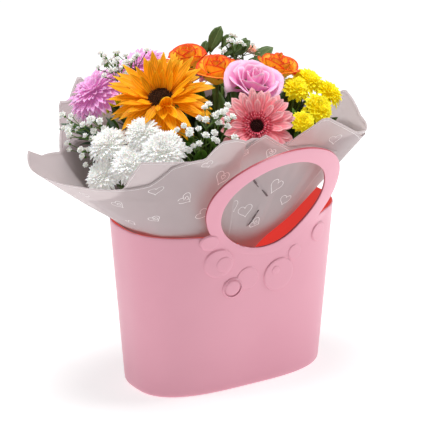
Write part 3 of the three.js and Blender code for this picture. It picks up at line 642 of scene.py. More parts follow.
wrapSheets = [  # open edges: azimuth and rise, from one side of the sheet to the other
    [(-232, 4.4), (-222, 4.6), (-214, 4.66), (-206, 4.96), (-203.5, 5.3), (-195, 5.25), (-180, 5.25), (-166, 5.3),
     (-156, 5.24), (-150, 5.22), (-142, 5.16), (-138, 5.28), (-134, 5.42), (-128, 5.32), (-122, 5.2), (-118, 5.44),
     (-114.5, 5.58), (-108, 5.5), (-105, 5.42), (-103, 5.36), (-102, 5.3)],
    [(-172, 4.5), (-158, 4.8), (-150, 5.24), (-142, 5.96), (-134, 5.56), (-128, 5.3), (-120, 4.9), (-108, 4.9),
     (-98, 5.2), (-90, 5.32), (-84, 5.12), (-78, 4.92), (-74, 4.8), (-60, 4.75), (-42, 4.6)],
    [(-112, 4.9), (-107, 5.2), (-104, 5.28), (-98, 5.32), (-90, 5.2), (-84, 5.0), (-78, 4.9), (-74, 5.0),
     (-70, 5.16), (-66, 5.28), (-61, 5.5), (-57, 5.5), (-48, 5.3), (-40, 5.1), (-34, 4.9), (-10, 4.8), (18, 4.5)],
    [(-52, 4.9), (-40, 5.1), (-34, 5.1), (-28, 5.0), (-14, 5.1), (-5, 5.28), (2, 5.4), (6, 5.2), (12, 4.9),
     (24, 5.1), (40, 5.3), (52, 5.0), (78, 4.7)],
    [(8, 4.7), (24, 5.0), (40, 5.2), (52, 4.9), (66, 4.9), (80, 5.1), (92, 5.0), (104, 4.8), (120, 4.7), (138, 4.5)],
    [(68, 4.7), (84, 4.9), (96, 4.8), (108, 4.6), (116, 4.7), (119, 4.9), (121.7, 5.45), (125, 5.3), (129.5, 5.1),
     (132, 5.25), (138, 4.84), (146, 4.6), (153, 4.0), (160, 3.3), (198, 2.8)],
]
creases = [  # azimuth and rise at both ends, depth and width
    (-104, 5.1, -100, 2.6, 1.4, 5), (-66, 5.3, -70, 2.4, -1.6, 5), (-140, 5.1, -152, 2.8, 1.4, 5),
    (-176, 5.2, -160, 2.8, -1.8, 6), (-124, 5.2, -118, 3.0, -1.6, 6), (-50, 5.4, -58, 2.6, 2.0, 6),
    (-190, 5.3, -180, 3.0, 1.8, 6), (-36, 5.2, -40, 2.8, -2.0, 7), (-20, 5.3, -24, 2.8, 1.8, 6),
    (4, 5.2, 0, 2.8, -2.0, 7), (30, 5.2, 34, 2.8, 2.0, 6), (58, 5.0, 56, 2.8, -1.8, 6), (84, 5.2, 86, 2.8, 1.8, 6),
    (112, 5.0, 108, 2.8, -2.0, 7),
]
tucks = [  # azimuth and rise at both ends, depth, width: one side stands over the other
    (-94, 4.35, -74, 3.72, 3.2, 12), (-86, 3.05, -79, 3.5, 2.6, 7), (-120, 5.0, -96, 4.35, 1.4, 9),
    (-150, 4.6, -128, 4.2, 1.2, 10),
]
hearts = [  # azimuth, rise, size, tilt
    (-156, 4.55, 12, 25), (-141, 4.85, 12, -15), (-132, 4.3, 13, 35), (-146, 3.95, 12, 20), (-121, 5.0, 12, 10),
    (-113, 4.5, 13, -30), (-124, 3.7, 13, 50), (-101, 4.95, 11, 60), (-103, 3.7, 13, 20), (-84, 4.75, 11, -20),
    (-91, 3.5, 14, 12), (-70, 4.7, 11, 30), (-71, 4.0, 15, -20), (-78, 3.1, 12, 60), (-60, 4.95, 12, 35),
    (-58, 3.6, 12, -10), (-48, 4.9, 12, 20), (-45, 4.2, 13, 10), (-168, 4.8, 12, -20), (-176, 4.2, 13, 15),
    (-160, 3.7, 12, 20), (-190, 4.8, 13, 0), (-206, 4.5, 12, 20), (-222, 4.2, 13, -15), (-196, 4.0, 12, 15),
    (-30, 4.9, 12, 0), (-18, 4.4, 13, 20), (-4, 5.0, 12, -20), (10, 4.5, 13, 10), (26, 4.8, 12, 25), (42, 4.4, 13, -15),
    (56, 4.7, 12, 0), (72, 4.4, 13, 20), (86, 4.7, 12, -20), (102, 4.3, 12, 15), (118, 4.5, 13, 0), (94, 3.8, 12, 20),
    (34, 3.8, 13, -10), (-12, 3.8, 12, 10),
]


def wrapAt(azimuth, rise, outward=0.0):  # a place on the gathered paper; arrays welcome
    azimuth, rise, outward = np.broadcast_arrays(*(np.asarray(v, float) for v in (azimuth, rise, outward)))
    turn = ((azimuth + 180) % 360) / 30
    k, t = np.floor(turn).astype(int), (turn % 1)[..., None, None]
    table = np.array(wrapProfile, float)
    a, b, c, d = (table[(k + i) % 12] for i in (-1, 0, 1, 2))
    levels = 0.5 * (2 * b + (c - a) * t + (2 * a - 5 * b + 4 * c - d) * t ** 2 + (3 * b - a - 3 * c + d) * t ** 3)
    fixed = np.broadcast_to(np.array([wrap["skirt"], wrap["gather"]], float), (*azimuth.shape, 2, 2))
    levels = np.concatenate([fixed, levels], -2)

    def spot(u):
        i = np.minimum(np.floor(u * 5), 4).astype(int)
        w = (u * 5 - i)[..., None]
        pick = [np.take_along_axis(levels, np.clip(i + n, 0, 5)[..., None, None] + np.zeros((1, 2), int), -2)[..., 0, :]
                for n in (-1, 0, 1, 2)]
        first, second = (pick[2] - pick[0]) / 2, (pick[3] - pick[1]) / 2
        return ((2 * pick[1] - 2 * pick[2] + first + second) * w ** 3
                + (-3 * pick[1] + 3 * pick[2] - 2 * first - second) * w ** 2 + first * w + pick[1])

    ahead = unit(spot(np.ones_like(rise)) - spot(np.full_like(rise, 0.97)))
    place = spot(np.clip(rise, 0, 5) / 5) + ahead * (np.maximum(rise - 5, 0) * wrap["pastEdge"])[..., None]
    ripple = wrap["ripple"] * smoothStep(rise, 3, 5) * np.sin(np.radians(azimuth * 9))
    fold = np.zeros_like(rise)
    for az1, rise1, az2, rise2, depth, width in creases:
        step = np.clip((rise - rise1) / (rise2 - rise1), 0, 1)
        gap = np.abs(azimuth - az1 - (az2 - az1) * step)
        gap = np.minimum(gap, np.abs(gap - 360))
        fold = fold + depth * np.maximum(1 - gap / width, 0) * np.sin(math.pi * np.clip(step, 0.05, 0.8))
    for az1, rise1, az2, rise2, depth, width in tucks:
        step = np.clip((azimuth - az1) / (az2 - az1), -0.2, 1.2)
        above = (rise - rise1 - (rise2 - rise1) * step) * wrap["perRise"]
        ends = smoothStep(step, -0.02, 0.12) * (1 - smoothStep(step, 0.8, 1.02))
        fold = fold + depth * ends * np.where(above > 0, np.maximum(1 - above / width, 0), 0)
    radius = place[..., 0] + ripple + fold * smoothStep(rise, 2.8, 3.2) + outward
    a = np.radians(azimuth)
    return np.stack([wrap["centre"] + radius * np.cos(a), radius * np.sin(a), place[..., 1]], -1)


def heartOutline(size, tilt):
    t = np.linspace(0.25, 2 * math.pi + 0.05, 40)
    x, y = 16 * np.sin(t) ** 3, 13 * np.cos(t) - 5 * np.cos(2 * t) - 2 * np.cos(3 * t) - np.cos(4 * t)
    a = math.radians(tilt)
    return np.stack([x * math.cos(a) - y * math.sin(a), x * math.sin(a) + y * math.cos(a)], -1) * size / 32


def layerOut(azimuth, start):  # how far a sheet lies outside the gathered form; its last edge lies down again
    part = (azimuth - start) / wrap["span"]
    return wrap["layer"] * part - wrap["lieDown"] * smoothStep(part, 0.86, 1)


def drawLine(shape, start, line, centre, width, name="paperPrint"):  # a line lying on a sheet, in millimetres
    azimuth, rise = centre
    reach = math.hypot(*(wrapAt(azimuth, rise)[:2] - [wrap["centre"], 0]))
    way = unit(np.gradient(line, axis=0))
    side = np.stack([-way[:, 1], way[:, 0]], -1) * width / 2
    rows = []
    for edge in (line - side, line + side):
        az, up = azimuth + np.degrees(edge[:, 0] / reach), rise + edge[:, 1] / wrap["perRise"]
        out = layerOut(az, start) + (0.32 if name == "paperPrint" else 0.8)
        rows.append(wrapAt(az, up, out))
    shape.put(np.concatenate(rows), gridFaces(2, len(line)), name)


def makeSheet(index, edge):
    shape = Shape(20 + index)
    start = edge[0][0]
    az = np.linspace(start, start + wrap["span"], wrap["columns"])
    top = np.interp(az, [e[0] for e in edge], [e[1] for e in edge])
    part = np.linspace(0, 1, wrap["rows"])[:, None] ** 0.75
    rise = part * top[None, :]
    out = layerOut(az, start)
    points = wrapAt(az[None, :] + 0 * rise, rise, out[None, :] + 0.25)
    shape.put(points, gridFaces(*rise.shape), "paperFace")
    border = [wrapAt(az, top - 0.07 + w, out + 0.55) for w in (-0.0045, 0.0045)]  # a printed line along the open edge
    shape.put(np.concatenate(border), gridFaces(2, len(az)), "paperPrint")
    for azimuth, up, size, tilt in hearts:
        for shift in (0, 360):
            place = azimuth + shift
            if not start + 5 < place < start + wrap["span"] - 5:
                continue
            if up + 0.12 > np.interp(place, az, top) or not (place > start + 60 or index in (0, 5)):
                continue
            jitter = shape.random.uniform(0.9, 1.15)
            drawLine(shape, start, heartOutline(size * jitter, tilt), (place, up), 0.55)
            if shape.random.random() < 0.4:
                drawLine(shape, start, heartOutline(size * 0.35, tilt + 10), (place + 0.5, up), 0.5)
    # A dark strip drawn along the first two tucks is painted shadow under the fold.
    for az1, up1, az2, up2, *_ in tucks[:2]:
        if start + 5 < az1 and az2 < start + wrap["span"] - 5 and az1 > start + 60:
            reach = math.hypot(*(wrapAt(az1, up1)[:2] - [wrap["centre"], 0]))
            end = [math.radians(az2 - az1) * reach * 0.9, (up2 - up1) * wrap["perRise"] * 0.9]
            sag = -0.6 * np.sin(np.linspace(0, math.pi, 30))
            line = np.linspace([0, 0], end, 30) + np.stack([0 * sag, sag], -1)
            drawLine(shape, start, line, (az1, up1), 0.8, "paperFoldShadow")
    piece = shape.build(f"wrappingPaper{index}", f"wrap_sheet_{index}", wrap["thick"])
    return piece


papers = [makeSheet(i + 1, edge) for i, edge in enumerate(wrapSheets)]
print("paper built")


def makeTie():  # three turns of twine round the stems
    shape = Shape(30)
    turns = np.linspace(0, 6 * math.pi, 120)
    for strand in (0, math.pi):
        radius = 28.7 + 0.55 * np.cos(turns * 14 + strand)
        height = 97.4 + turns * 1.5 / math.pi / 2 * 1.3 + 0.55 * np.sin(turns * 14 + strand)
        line = np.stack([wrap["centre"] + radius * np.cos(turns), radius * np.sin(turns), height], -1)
        rod(shape, line, 0.6, "twine", 6, 420)
    return shape.build("twineTie", "stem_tie")


def makeRibbon():  # a soft band with turned edges round the gathered paper
    shape = Shape(31)
    turns = np.linspace(0, 2 * math.pi, 120, endpoint=False)
    rows = []
    for v in np.linspace(-6, 6, 13):
        edge = 0.35 * (abs(v) > 5)
        radius = 41 + 0.35 * np.sin(turns * 17 + v * 0.5) + 0.3 * np.sin(turns * 5 - v * 0.3) + edge
        rows.append(np.stack([wrap["centre"] + radius * np.cos(turns), radius * np.sin(turns),
                              100 + v + 0.4 * np.sin(turns * 3)], -1))
    shape.put(np.concatenate(rows), gridFaces(13, 120, loop=True), "ribbon")
    return shape.build("paperRibbon", "wrap_ribbon", 0.4)


makeTie()
makeRibbon()


# The bouquet. Each head is built facing up round its own centre, then turned to its place.

stemLook = {"sides": 9, "slices": 12, "foot": 6.5}
towardsBack = Vector((0.45, 0.72, 0.5)).normalized()  # petals on this side of a cupped head stand higher


def stemLine(node, top):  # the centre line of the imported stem, from slices across it
    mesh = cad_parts[node].data
    points = np.empty(len(mesh.vertices) * 3)
    mesh.vertices.foreach_get("co", points)
    edges = np.empty(len(mesh.edges) * 2, int)
    mesh.edges.foreach_get("vertices", edges)
    points, edges = points.reshape(-1, 3) / mm, edges.reshape(-1, 2)
    low, high = points[edges[:, 0]], points[edges[:, 1]]
    line = []
    for z in np.linspace(stemLook["foot"], top, stemLook["slices"]):
        crossing = (low[:, 2] - z) * (high[:, 2] - z) < 0
        if crossing.any():
            a, b = low[crossing], high[crossing]
            t = ((z - a[:, 2]) / (b[:, 2] - a[:, 2]))[:, None]
            spots = a + (b - a) * t
            line.append((spots.min(0) + spots.max(0)) / 2)
    return line


def makeStem(shape, node, top, ends, radius):
    line = [*stemLine(node, top), *[np.array(end) for end in ends]]
    rod(shape, line, radius, "stem", stemLook["sides"], 60)


def ring(shape, count, start, length, width, rise, bend, name, turn, up=0.0, loose=0.12, cupped=0.0, **form):
    # petals of one layer round a head; loose is how much they differ
    rnd = shape.random
    first = rnd.uniform(0, 360)
    for k in range(count):
        angle = first + 360 * (k + rnd.uniform(-0.25, 0.25)) / count
        a = math.radians(angle)
        high = (turn.to_3x3() @ Vector((math.cos(a), math.sin(a), 0))).dot(towardsBack)
        points, faces, along, across = blade(
            length * rnd.uniform(1 - loose, 1 + loose * 0.6), width * rnd.uniform(1 - loose, 1 + loose),
            rise + cupped * high + rnd.uniform(-40, 40) * loose, bend + rnd.uniform(-60, 60) * loose,
            twist=rnd.uniform(-1.6, 1.6) * loose, **form)
        shape.put(spun(points, angle, start, up + rnd.uniform(0, 0.5)), faces, name, along, across)


def spikes(shape, radius, count, tall, wide, name, dome=0.0, base=0.0, lean=0.2):  # a centre of small florets
    for k in range(count):
        r, a = radius * math.sqrt((k + 0.5) / count), k * 2.39996
        centre = np.array([r * math.cos(a), r * math.sin(a), base + dome * (1 - (r / radius) ** 2)])
        height = tall * shape.random.uniform(0.7, 1.2)
        turns = np.arange(5) * 2 * math.pi / 5
        foot = centre + np.stack([np.cos(turns), np.sin(turns), 0 * turns], -1) * wide / 2
        away = np.array([math.cos(a), math.sin(a), 0]) * lean * height * r / radius
        top = centre + (foot - centre) * 0.55 + [0, 0, height] + away
        tip = centre + [0, 0, height * 1.25] + away
        faces = [(i, (i + 1) % 5, (i + 1) % 5 + 5, i + 5) for i in range(5)]
        faces += [(i + 5, (i + 1) % 5 + 5, 10) for i in range(5)]
        shape.put(np.vstack([foot, top, tip]), faces, name, [0.2] * 5 + [0.7] * 5 + [1.0])


def dome(shape, radius, low, high, name, rows=8, sides=28):
    rings = []
    for t in np.linspace(0, 1, rows):
        turns = np.linspace(0, 2 * math.pi, sides, endpoint=False)
        r = max(radius * math.cos(t * math.pi / 2), 0.02)
        rings.append(np.stack([r * np.cos(turns), r * np.sin(turns), low + (high - low) * math.sin(t * math.pi / 2)
                               + 0 * turns], -1))
    shape.put(np.concatenate(rings), gridFaces(rows, sides, loop=True), name, 0.3, 0.3, 0.5)


def calyx(shape, radius, back, sepals, turn):  # the green cup behind a head
    rings, turns = [], np.linspace(0, 2 * math.pi, 20, endpoint=False)
    for r, z in ((0.12, -back), (0.4, -back * 0.8), (0.85, -back * 0.45), (1, -back * 0.15), (0.7, 0)):
        rings.append(np.stack([radius * r * np.cos(turns), radius * r * np.sin(turns), z + 0 * turns], -1))
    shape.put(np.concatenate(rings), gridFaces(5, 20, loop=True), "stem", 0.5, 0.5, 0.4)
    ring(shape, sepals, radius * 0.8, radius * 1.1, radius * 0.42, 12, -10, "brightLeaf", turn, -back * 0.3, rows=4,
         columns=2)


sunflower = {
    "layers": [  # count, start, length, width, rise, bend, up
        (20, 13, 44, 12.5, -16, -12, -3.0), (21, 12, 45, 12.5, 2, -10, -1.8), (19, 12, 43, 12, 16, 4, -0.6),
        (15, 11, 37, 11.5, 28, 16, 0.5), (9, 11, 27, 10, 44, 26, 1.4)],
    "cupped": 26, "disc": 12, "florets": 190,
}


def makeSunflower(shape, spec, turn):
    calyx(shape, 15, 10, 16, turn)
    for count, start, length, width, rise, bend, up in sunflower["layers"]:
        ring(shape, count, start, length, width, rise, bend, "sunPetal", turn, up, 0.13, sunflower["cupped"], rows=10,
             columns=6, cup=0.34, root=0.42, peak=0.42, tip=(1.7, 0.95), ridge=0.28, ridges=4, wave=0.5)
    dome(shape, sunflower["disc"] + 2, -1, 3.5, "sunDisc")
    spikes(shape, sunflower["disc"] + 1, sunflower["florets"], 2.6, 2.0, "sunDisc", 3.2, 0.6, 0.3)
    curled = blade(25, 15, 88, 62, cup=0.5, root=0.5, peak=0.5, tip=(2, 0.7), rows=12, columns=6, ridge=0.3, ridges=4)
    local = turn.to_3x3().inverted() @ Vector((-0.25, -0.8, 0.1))
    shape.put(spun(curled[0] * [-1, 1, 1], math.degrees(math.atan2(local.y, local.x)), 17, 1), curled[1],
              "sunPetal", curled[2], curled[3], 0.7)


def makeGerbera(shape, spec, turn):
    r, disc, petal = spec["radius"], spec["disc"], spec["petal"]
    long = r - disc * 0.62
    form = {"rows": 9, "columns": 6, "cup": 0.2, "root": 0.45, "peak": 0.62, "tip": (2.4, 0.62), "ridge": 0.3,
            "ridges": 2}
    calyx(shape, disc * 0.8, 10, 12, turn)
    wide = r * 0.235
    ring(shape, 21, disc * 0.6, long, wide, 4, -10, petal, turn, -1.8, 0.1, 14, **form)
    ring(shape, 19, disc * 0.6, long * 0.94, wide, 13, -12, petal, turn, -0.6, 0.11, 14, **form)
    ring(shape, 12, disc * 0.6, long * 0.7, wide * 0.75, 24, -8, petal, turn, 0.4, 0.14, 10, **form)
    small = {"rows": 4, "columns": 2, "cup": 0.3, "root": 0.6, "peak": 0.5, "tip": (2, 0.7)}
    trims = ((34, 0.62, 0.52, 38, 0.8), (30, 0.5, 0.42, 55, 1.2), (24, 0.4, 0.36, 66, 1.6))
    for count, start, length, rise, up in trims:
        ring(shape, count, disc * start, disc * length, disc * 0.13, rise, -30, spec["ring"], turn, up, 0.15, 0, **small)
    dome(shape, disc * 0.52, -0.5, 2.6, "gerberaDisc")
    spikes(shape, disc * 0.5, 90, 2.4, 1.0, "gerberaDisc", 1.6, 1.2, 0.5)


def makeDaisyMum(shape, spec, turn):  # many narrow strap petals in layers
    r, petal = spec["radius"], spec["petal"]
    form = {"rows": 6, "columns": 4, "cup": 0.5, "root": 0.5, "peak": 0.6, "tip": (2.2, 0.6), "ridge": 0.18, "ridges": 2}
    calyx(shape, 8, 10, 12, turn)
    for count, start, length, rise, up in ((30, 4, 0.9, -16, -3), (32, 4, 0.88, -4, -2), (30, 4, 0.84, 8, -1),
                                           (28, 3.5, 0.7, 22, -0.2), (24, 3, 0.5, 38, 0.6), (18, 2.5, 0.36, 55, 1.2)):
        ring(shape, count, start, r * length, r * 0.16, rise, -10, petal, turn, up, 0.11, 8, **form)
    dome(shape, 6, 0, 3.5, petal)
    spikes(shape, 6.5, 60, 3.4, 1.1, spec["ring"], 2.5, 1.2, 0.4)


def makeMum(shape, radius, petal, count, wide, reach=1.0):  # a ball of petals, each in its own golden turn
    rnd = shape.random
    for k in range(count):
        t = math.sqrt((k + 0.5) / count)
        length = radius * (0.34 + 0.62 * t) * rnd.uniform(0.88, 1.06)
        rise = 88 - 96 * t ** 1.5 + rnd.uniform(-7, 7)
        points, faces, along, across = blade(length, wide * rnd.uniform(0.85, 1.15), rise, -26 * t + rnd.uniform(-8, 8),
                                             cup=0.55, root=0.5, peak=0.72, tip=(2.6, 0.6), rows=5, columns=3,
                                             twist=rnd.uniform(-0.25, 0.25))
        shape.put(spun(points, k * 137.508, radius * 0.05 + radius * 0.12 * t, radius * 0.12 * (1 - t)), faces, petal,
                  along, across)
    dome(shape, radius * 0.45, -radius * 0.2, radius * 0.3, petal, 6, 16)


def rosePetal(radius, tall, half, lift, roll, point, rows=9, columns=10):
    # wraps round the axis: half is its half angle, roll turns its lip outwards
    v, u = np.meshgrid(np.linspace(0, 1, rows + 1), np.linspace(-1, 1, columns + 1), indexing="ij")
    top = 1 - 0.30 * np.abs(u) ** 2.6 + point * (1 - np.abs(u)) ** 2
    narrow = 0.35 + 0.65 * np.sin(np.minimum(v * 1.5, 1) * math.pi / 2)
    angle = u * half * narrow
    lip = np.maximum(v - 0.55, 0) / 0.45
    rad = radius * (0.28 + 0.72 * np.sin(np.minimum(v * 1.15, 1) * math.pi / 2)) + roll * lip ** 2
    rad = rad + 0.06 * radius * np.abs(u) ** 2 * v
    z = tall * v * top + lift - roll * 0.28 * lip ** 3
    points = np.stack([rad * np.cos(angle), rad * np.sin(angle), z], -1).reshape(-1, 3)
    return points, gridFaces(rows + 1, columns + 1), v.ravel(), u.ravel()


def makeRose(shape, spec, turn):
    r, tall, petal, count = spec["radius"], spec["tall"], spec["petal"], spec["count"]
    rnd = shape.random
    calyx(shape, r * 0.42, tall * 0.5, 5, turn)
    for k in range(count):
        t = k / (count - 1)
        reach = r * (0.1 + 0.62 * t ** 0.85)
        half = min(2.4, r * (0.34 + 0.52 * t) / reach)
        high = tall * (0.92 - 0.26 * t) * rnd.uniform(0.95, 1.05)
        points, faces, along, across = rosePetal(reach, high, half, -tall * 0.48, r * spec["open"] * t ** 1.6
                                                 * rnd.uniform(0.8, 1.2), spec["point"] * rnd.uniform(0.4, 1.2))
        shape.put(spun(points, k * 137.508 + rnd.uniform(-12, 12)), faces, petal, along, across)


def makeFloret(shape, centre, normal, size):  # one double floret of baby's breath
    first = len(shape.points)
    turn = headPlace((0, 0, 0), (0, 90))
    for count, rise, length, up in ((7, 4, 0.52, 0), (7, 28, 0.5, 0.3), (6, 52, 0.44, 0.6), (4, 74, 0.36, 0.8)):
        ring(shape, count, size * 0.04, size * length, size * 0.36, rise, 26, "breathPetal", turn, up, 0.14, 0, rows=3,
             columns=2, cup=0.4, root=0.5, peak=0.65, tip=(2.4, 0.5))
    dome(shape, size * 0.16, -size * 0.36, 0.1, "brightLeaf", 3, 7)
    quaternion = Vector(normal).to_track_quat("Z", "Y").to_matrix().to_4x4()
    shape.turned(Matrix.Translation(centre) @ quaternion, first)


def makeLeaf(shape, foot, tip, width, name, droop=-16, cup=0.25, rows=6, columns=4, round=False, roll=0):
    foot, tip = Vector(foot), Vector(tip)
    way = tip - foot
    points, faces, along, across = blade(way.length * 1.03, width, -droop * 0.6, droop, cup=cup, rows=rows,
                                         root=0.3 if round else 0.12, peak=0.5 if round else 0.42,
                                         tip=(2.1, 0.6) if round else (1.8, 0.9), columns=columns,
                                         wave=shape.random.uniform(0.1, 0.5), twist=shape.random.uniform(-0.4, 0.4))
    side = way.cross(Vector((0, 0, 1))).normalized()
    side.rotate(Matrix.Rotation(math.radians(roll), 3, way))
    turn = Matrix((way.normalized(), -side, way.normalized().cross(-side))).transposed()
    first = len(shape.points)
    shape.put(points, faces, name, along, across)
    shape.turned(Matrix.Translation(foot) @ turn.to_4x4(), first)


def headBack(form, radius, tall):
    return {"daisy": 10, "rose": tall * 0.46, "mum": radius * 0.5}[form]


heads = {  # one flower on one stem
    "sunflower": {"make": makeSunflower, "form": "daisy", "at": (-84, -12, 329), "face": (-138, 64), "radius": 56,
                  "stem": 4, "slot": "sunflower_petal"},
    "pink_gerbera": {"make": makeGerbera, "form": "daisy", "at": (-4, -75, 302), "face": (-119, 28), "radius": 41,
                     "disc": 17, "petal": "pinkPetal", "ring": "pinkRing", "slot": "pink_petal"},
    "salmon_gerbera": {"make": makeGerbera, "form": "daisy", "at": (84, 46, 336), "face": (10, 62), "radius": 30,
                       "disc": 11, "petal": "salmonPetal", "ring": "salmonPetal", "slot": "salmon_petal"},
    "lilac_gerbera_left": {"make": makeDaisyMum, "form": "daisy", "at": (-116, 72, 321), "face": (165, 56), "radius": 36,
                           "petal": "lilacPetal", "ring": "lilacPetal", "slot": "lilac_petal"},
    "lilac_gerbera_back": {"make": makeDaisyMum, "form": "daisy", "at": (-58, 78, 338), "face": (170, 68), "radius": 33,
                           "petal": "lilacPetal", "ring": "lilacPetal", "slot": "lilac_petal"},
    "mauve_rose": {"make": makeRose, "form": "rose", "at": (25, -25, 333), "face": (-95, 62), "radius": 30, "tall": 36,
                   "petal": "mauvePetal", "count": 15, "open": 0.42, "point": 0.16, "slot": "mauve_petal"},
    "orange_rose_1": {"make": makeRose, "form": "rose", "at": (2, 15, 342), "face": (-120, 74), "radius": 23, "tall": 36,
                      "petal": "orangePetal", "count": 16, "open": 0.34, "point": 0.03, "slot": "orange_petal"},
    "orange_rose_2": {"make": makeRose, "form": "rose", "at": (-12, 53, 347), "face": (-150, 76), "radius": 23,
                      "tall": 36, "petal": "orangePetal", "count": 16, "open": 0.34, "point": 0.03, "slot": "orange_petal"},
    "orange_rose_3": {"make": makeRose, "form": "rose", "at": (72, 2, 338), "face": (-60, 76), "radius": 23, "tall": 34,
                      "petal": "orangePetal", "count": 16, "open": 0.34, "point": 0.03, "slot": "orange_petal"},
    "pink_gerbera_rear": {"make": makeGerbera, "form": "daisy", "at": (38, 80, 320), "face": (70, 52), "radius": 36,
                          "disc": 14, "petal": "pinkPetal", "ring": "pinkRing", "slot": "pink_petal"},
    "mauve_rose_rear": {"make": makeRose, "form": "rose", "at": (-26, 88, 308), "face": (100, 44), "radius": 24,
                        "tall": 36, "petal": "mauvePetal", "count": 14, "open": 0.4, "point": 0.14, "slot": "mauve_petal"},
}


def camel(node):
    first, *rest = node.split("_")
    return first + "".join(word.capitalize() for word in rest)


def makeHead(node, spec, seed):
    shape = Shape(seed)
    centre, normal = Vector(spec["at"]), direction(*spec["face"])
    turn = headPlace(centre, spec["face"])
    spec["make"](shape, spec, turn)
    shape.turned(turn)
    back = headBack(spec["form"], spec["radius"], spec.get("tall", 0))
    joint, neck = centre - normal * back * 0.8, centre - normal * (back + 26)
    makeStem(shape, node, neck.z, [centre - normal * (back + 8), joint], spec.get("stem", 2.6))
    return shape.build(camel(node), node, 0.28)


for number, (node, spec) in enumerate(heads.items()):
    makeHead(node, spec, 50 + number)
print("large flowers built")

sprays = {  # several heads branching from one stem: place, facing, radius
    "white_spray_1": ("whitePetal", (-92, -16, 228), [
        ((-148, -4, 252), (-170, 40), 22), ((-134, -38, 272), (-140, 45), 23), ((-140, 0, 284), (-165, 55), 23)]),
    "white_spray_2": ("whitePetal", (-74, -34, 240), [
        ((-110, -62, 288), (-125, 42), 25), ((-118, -34, 302), (-140, 55), 20)]),
    "yellow_spray_1": ("yellowPetal", (64, -24, 262), [
        ((78, -26, 318), (-95, 50), 16), ((98, -20, 322), (-60, 60), 18), ((114, -34, 310), (-40, 48), 18)]),
    "yellow_spray_2": ("yellowPetal", (56, -50, 258), [
        ((90, -50, 300), (-80, 38), 18), ((60, -66, 294), (-100, 40), 13)]),
    "white_spray_rear": ("whitePetal", (50, 40, 258), [((104, 56, 304), (30, 45), 17), ((72, 78, 294), (60, 40), 17)]),
    "yellow_spray_rear": ("yellowPetal", (-44, 66, 250), [
        ((-84, 88, 298), (120, 40), 16), ((-60, 90, 288), (105, 35), 15)]),
}


def makeSpray(node, petal, fork, places, seed):
    shape = Shape(seed)
    fork = Vector(fork)
    for at, face, radius in places:
        first = len(shape.points)
        if petal == "whitePetal":
            makeMum(shape, radius, petal, 190, radius * 0.155)
        else:
            makeMum(shape, radius, petal, 90, radius * 0.27)
        calyx(shape, radius * 0.4, radius * 0.5, 7, headPlace(at, face))
        shape.turned(headPlace(at, face), first)
        end = Vector(at) - direction(*face) * radius * 0.45
        bend = fork.lerp(end, 0.55) - Vector((0, 0, 4))
        rod(shape, [fork, bend, end], [1.6, 1.2], "stem", 7)
        leafFoot = fork.lerp(end, 0.4)
        leafWay = Vector((shape.random.uniform(-14, 14), shape.random.uniform(-14, 14), 14))
        makeLeaf(shape, leafFoot, leafFoot + leafWay, 8, "brightLeaf")
    makeStem(shape, node, fork.z - 5, [fork], 2.2)
    return shape.build(camel(node), node, 0.24)


for number, (node, (petal, fork, places)) in enumerate(sprays.items()):
    makeSpray(node, petal, fork, places, 80 + number)
print("sprays built")

breath = {"size": 8.2, "more": 4, "spread": 14}
breathSprigs = {
    "babys_breath_1": ((-84, 24, 250), [(-150, 42, 268), (-152, 28, 288), (-142, 62, 284), (-158, 50, 300), (-138, 40, 262),
                                        (-146, 24, 306)]),
    "babys_breath_2": ((-52, -52, 262), [(-78, -80, 296), (-62, -84, 306), (-66, -74, 318), (-50, -72, 322),
                                         (-46, -84, 310), (-86, -74, 310)]),
    "babys_breath_3": ((-78, 40, 292), [(-92, 48, 354), (-98, 60, 352), (-100, 74, 350), (-94, 84, 346), (-108, 50, 348),
                                        (-84, 42, 360)]),
    "babys_breath_4": ((46, 24, 300), [(42, 50, 356), (54, 46, 354), (36, 42, 362), (60, 56, 346), (48, 60, 350)]),
}


def makeBreath(node, fork, florets, seed):
    shape = Shape(seed)
    rnd, fork = shape.random, Vector(fork)
    for place in florets:
        place = Vector(place)
        bend = fork.lerp(place, 0.5) - Vector((0, 0, 3))
        knot = fork.lerp(place, 0.8)
        rod(shape, [fork, bend, knot, place], [0.75, 0.45], "stem", 5, 14)
        spots = [place]
        while len(spots) < breath["more"] + 1:
            shift = Vector([rnd.uniform(-1, 1) * breath["spread"] * k for k in (1, 1, 0.7)])
            if all((place + shift - other).length > breath["size"] * 0.85 for other in spots):
                spots.append(place + shift)
        for spot in spots:
            out = (spot - fork).normalized() + Vector((0, -0.35, 0.35)) + Vector([rnd.uniform(-0.3, 0.3) for _ in "xyz"])
            if spot is not place:
                line = [knot, knot.lerp(spot, 0.6) + Vector((0, 0, -1)), spot - out.normalized() * 2]
                rod(shape, line, [0.42, 0.32], "stem", 5, 8)
            makeFloret(shape, spot, out.normalized(), breath["size"] * rnd.uniform(0.8, 1.15))
    makeStem(shape, node, fork.z - 6, [fork], 1.3)
    return shape.build(camel(node), node, 0.16)


for number, (node, (fork, florets)) in enumerate(breathSprigs.items()):
    makeBreath(node, fork, florets, 90 + number)
print("baby's breath built")

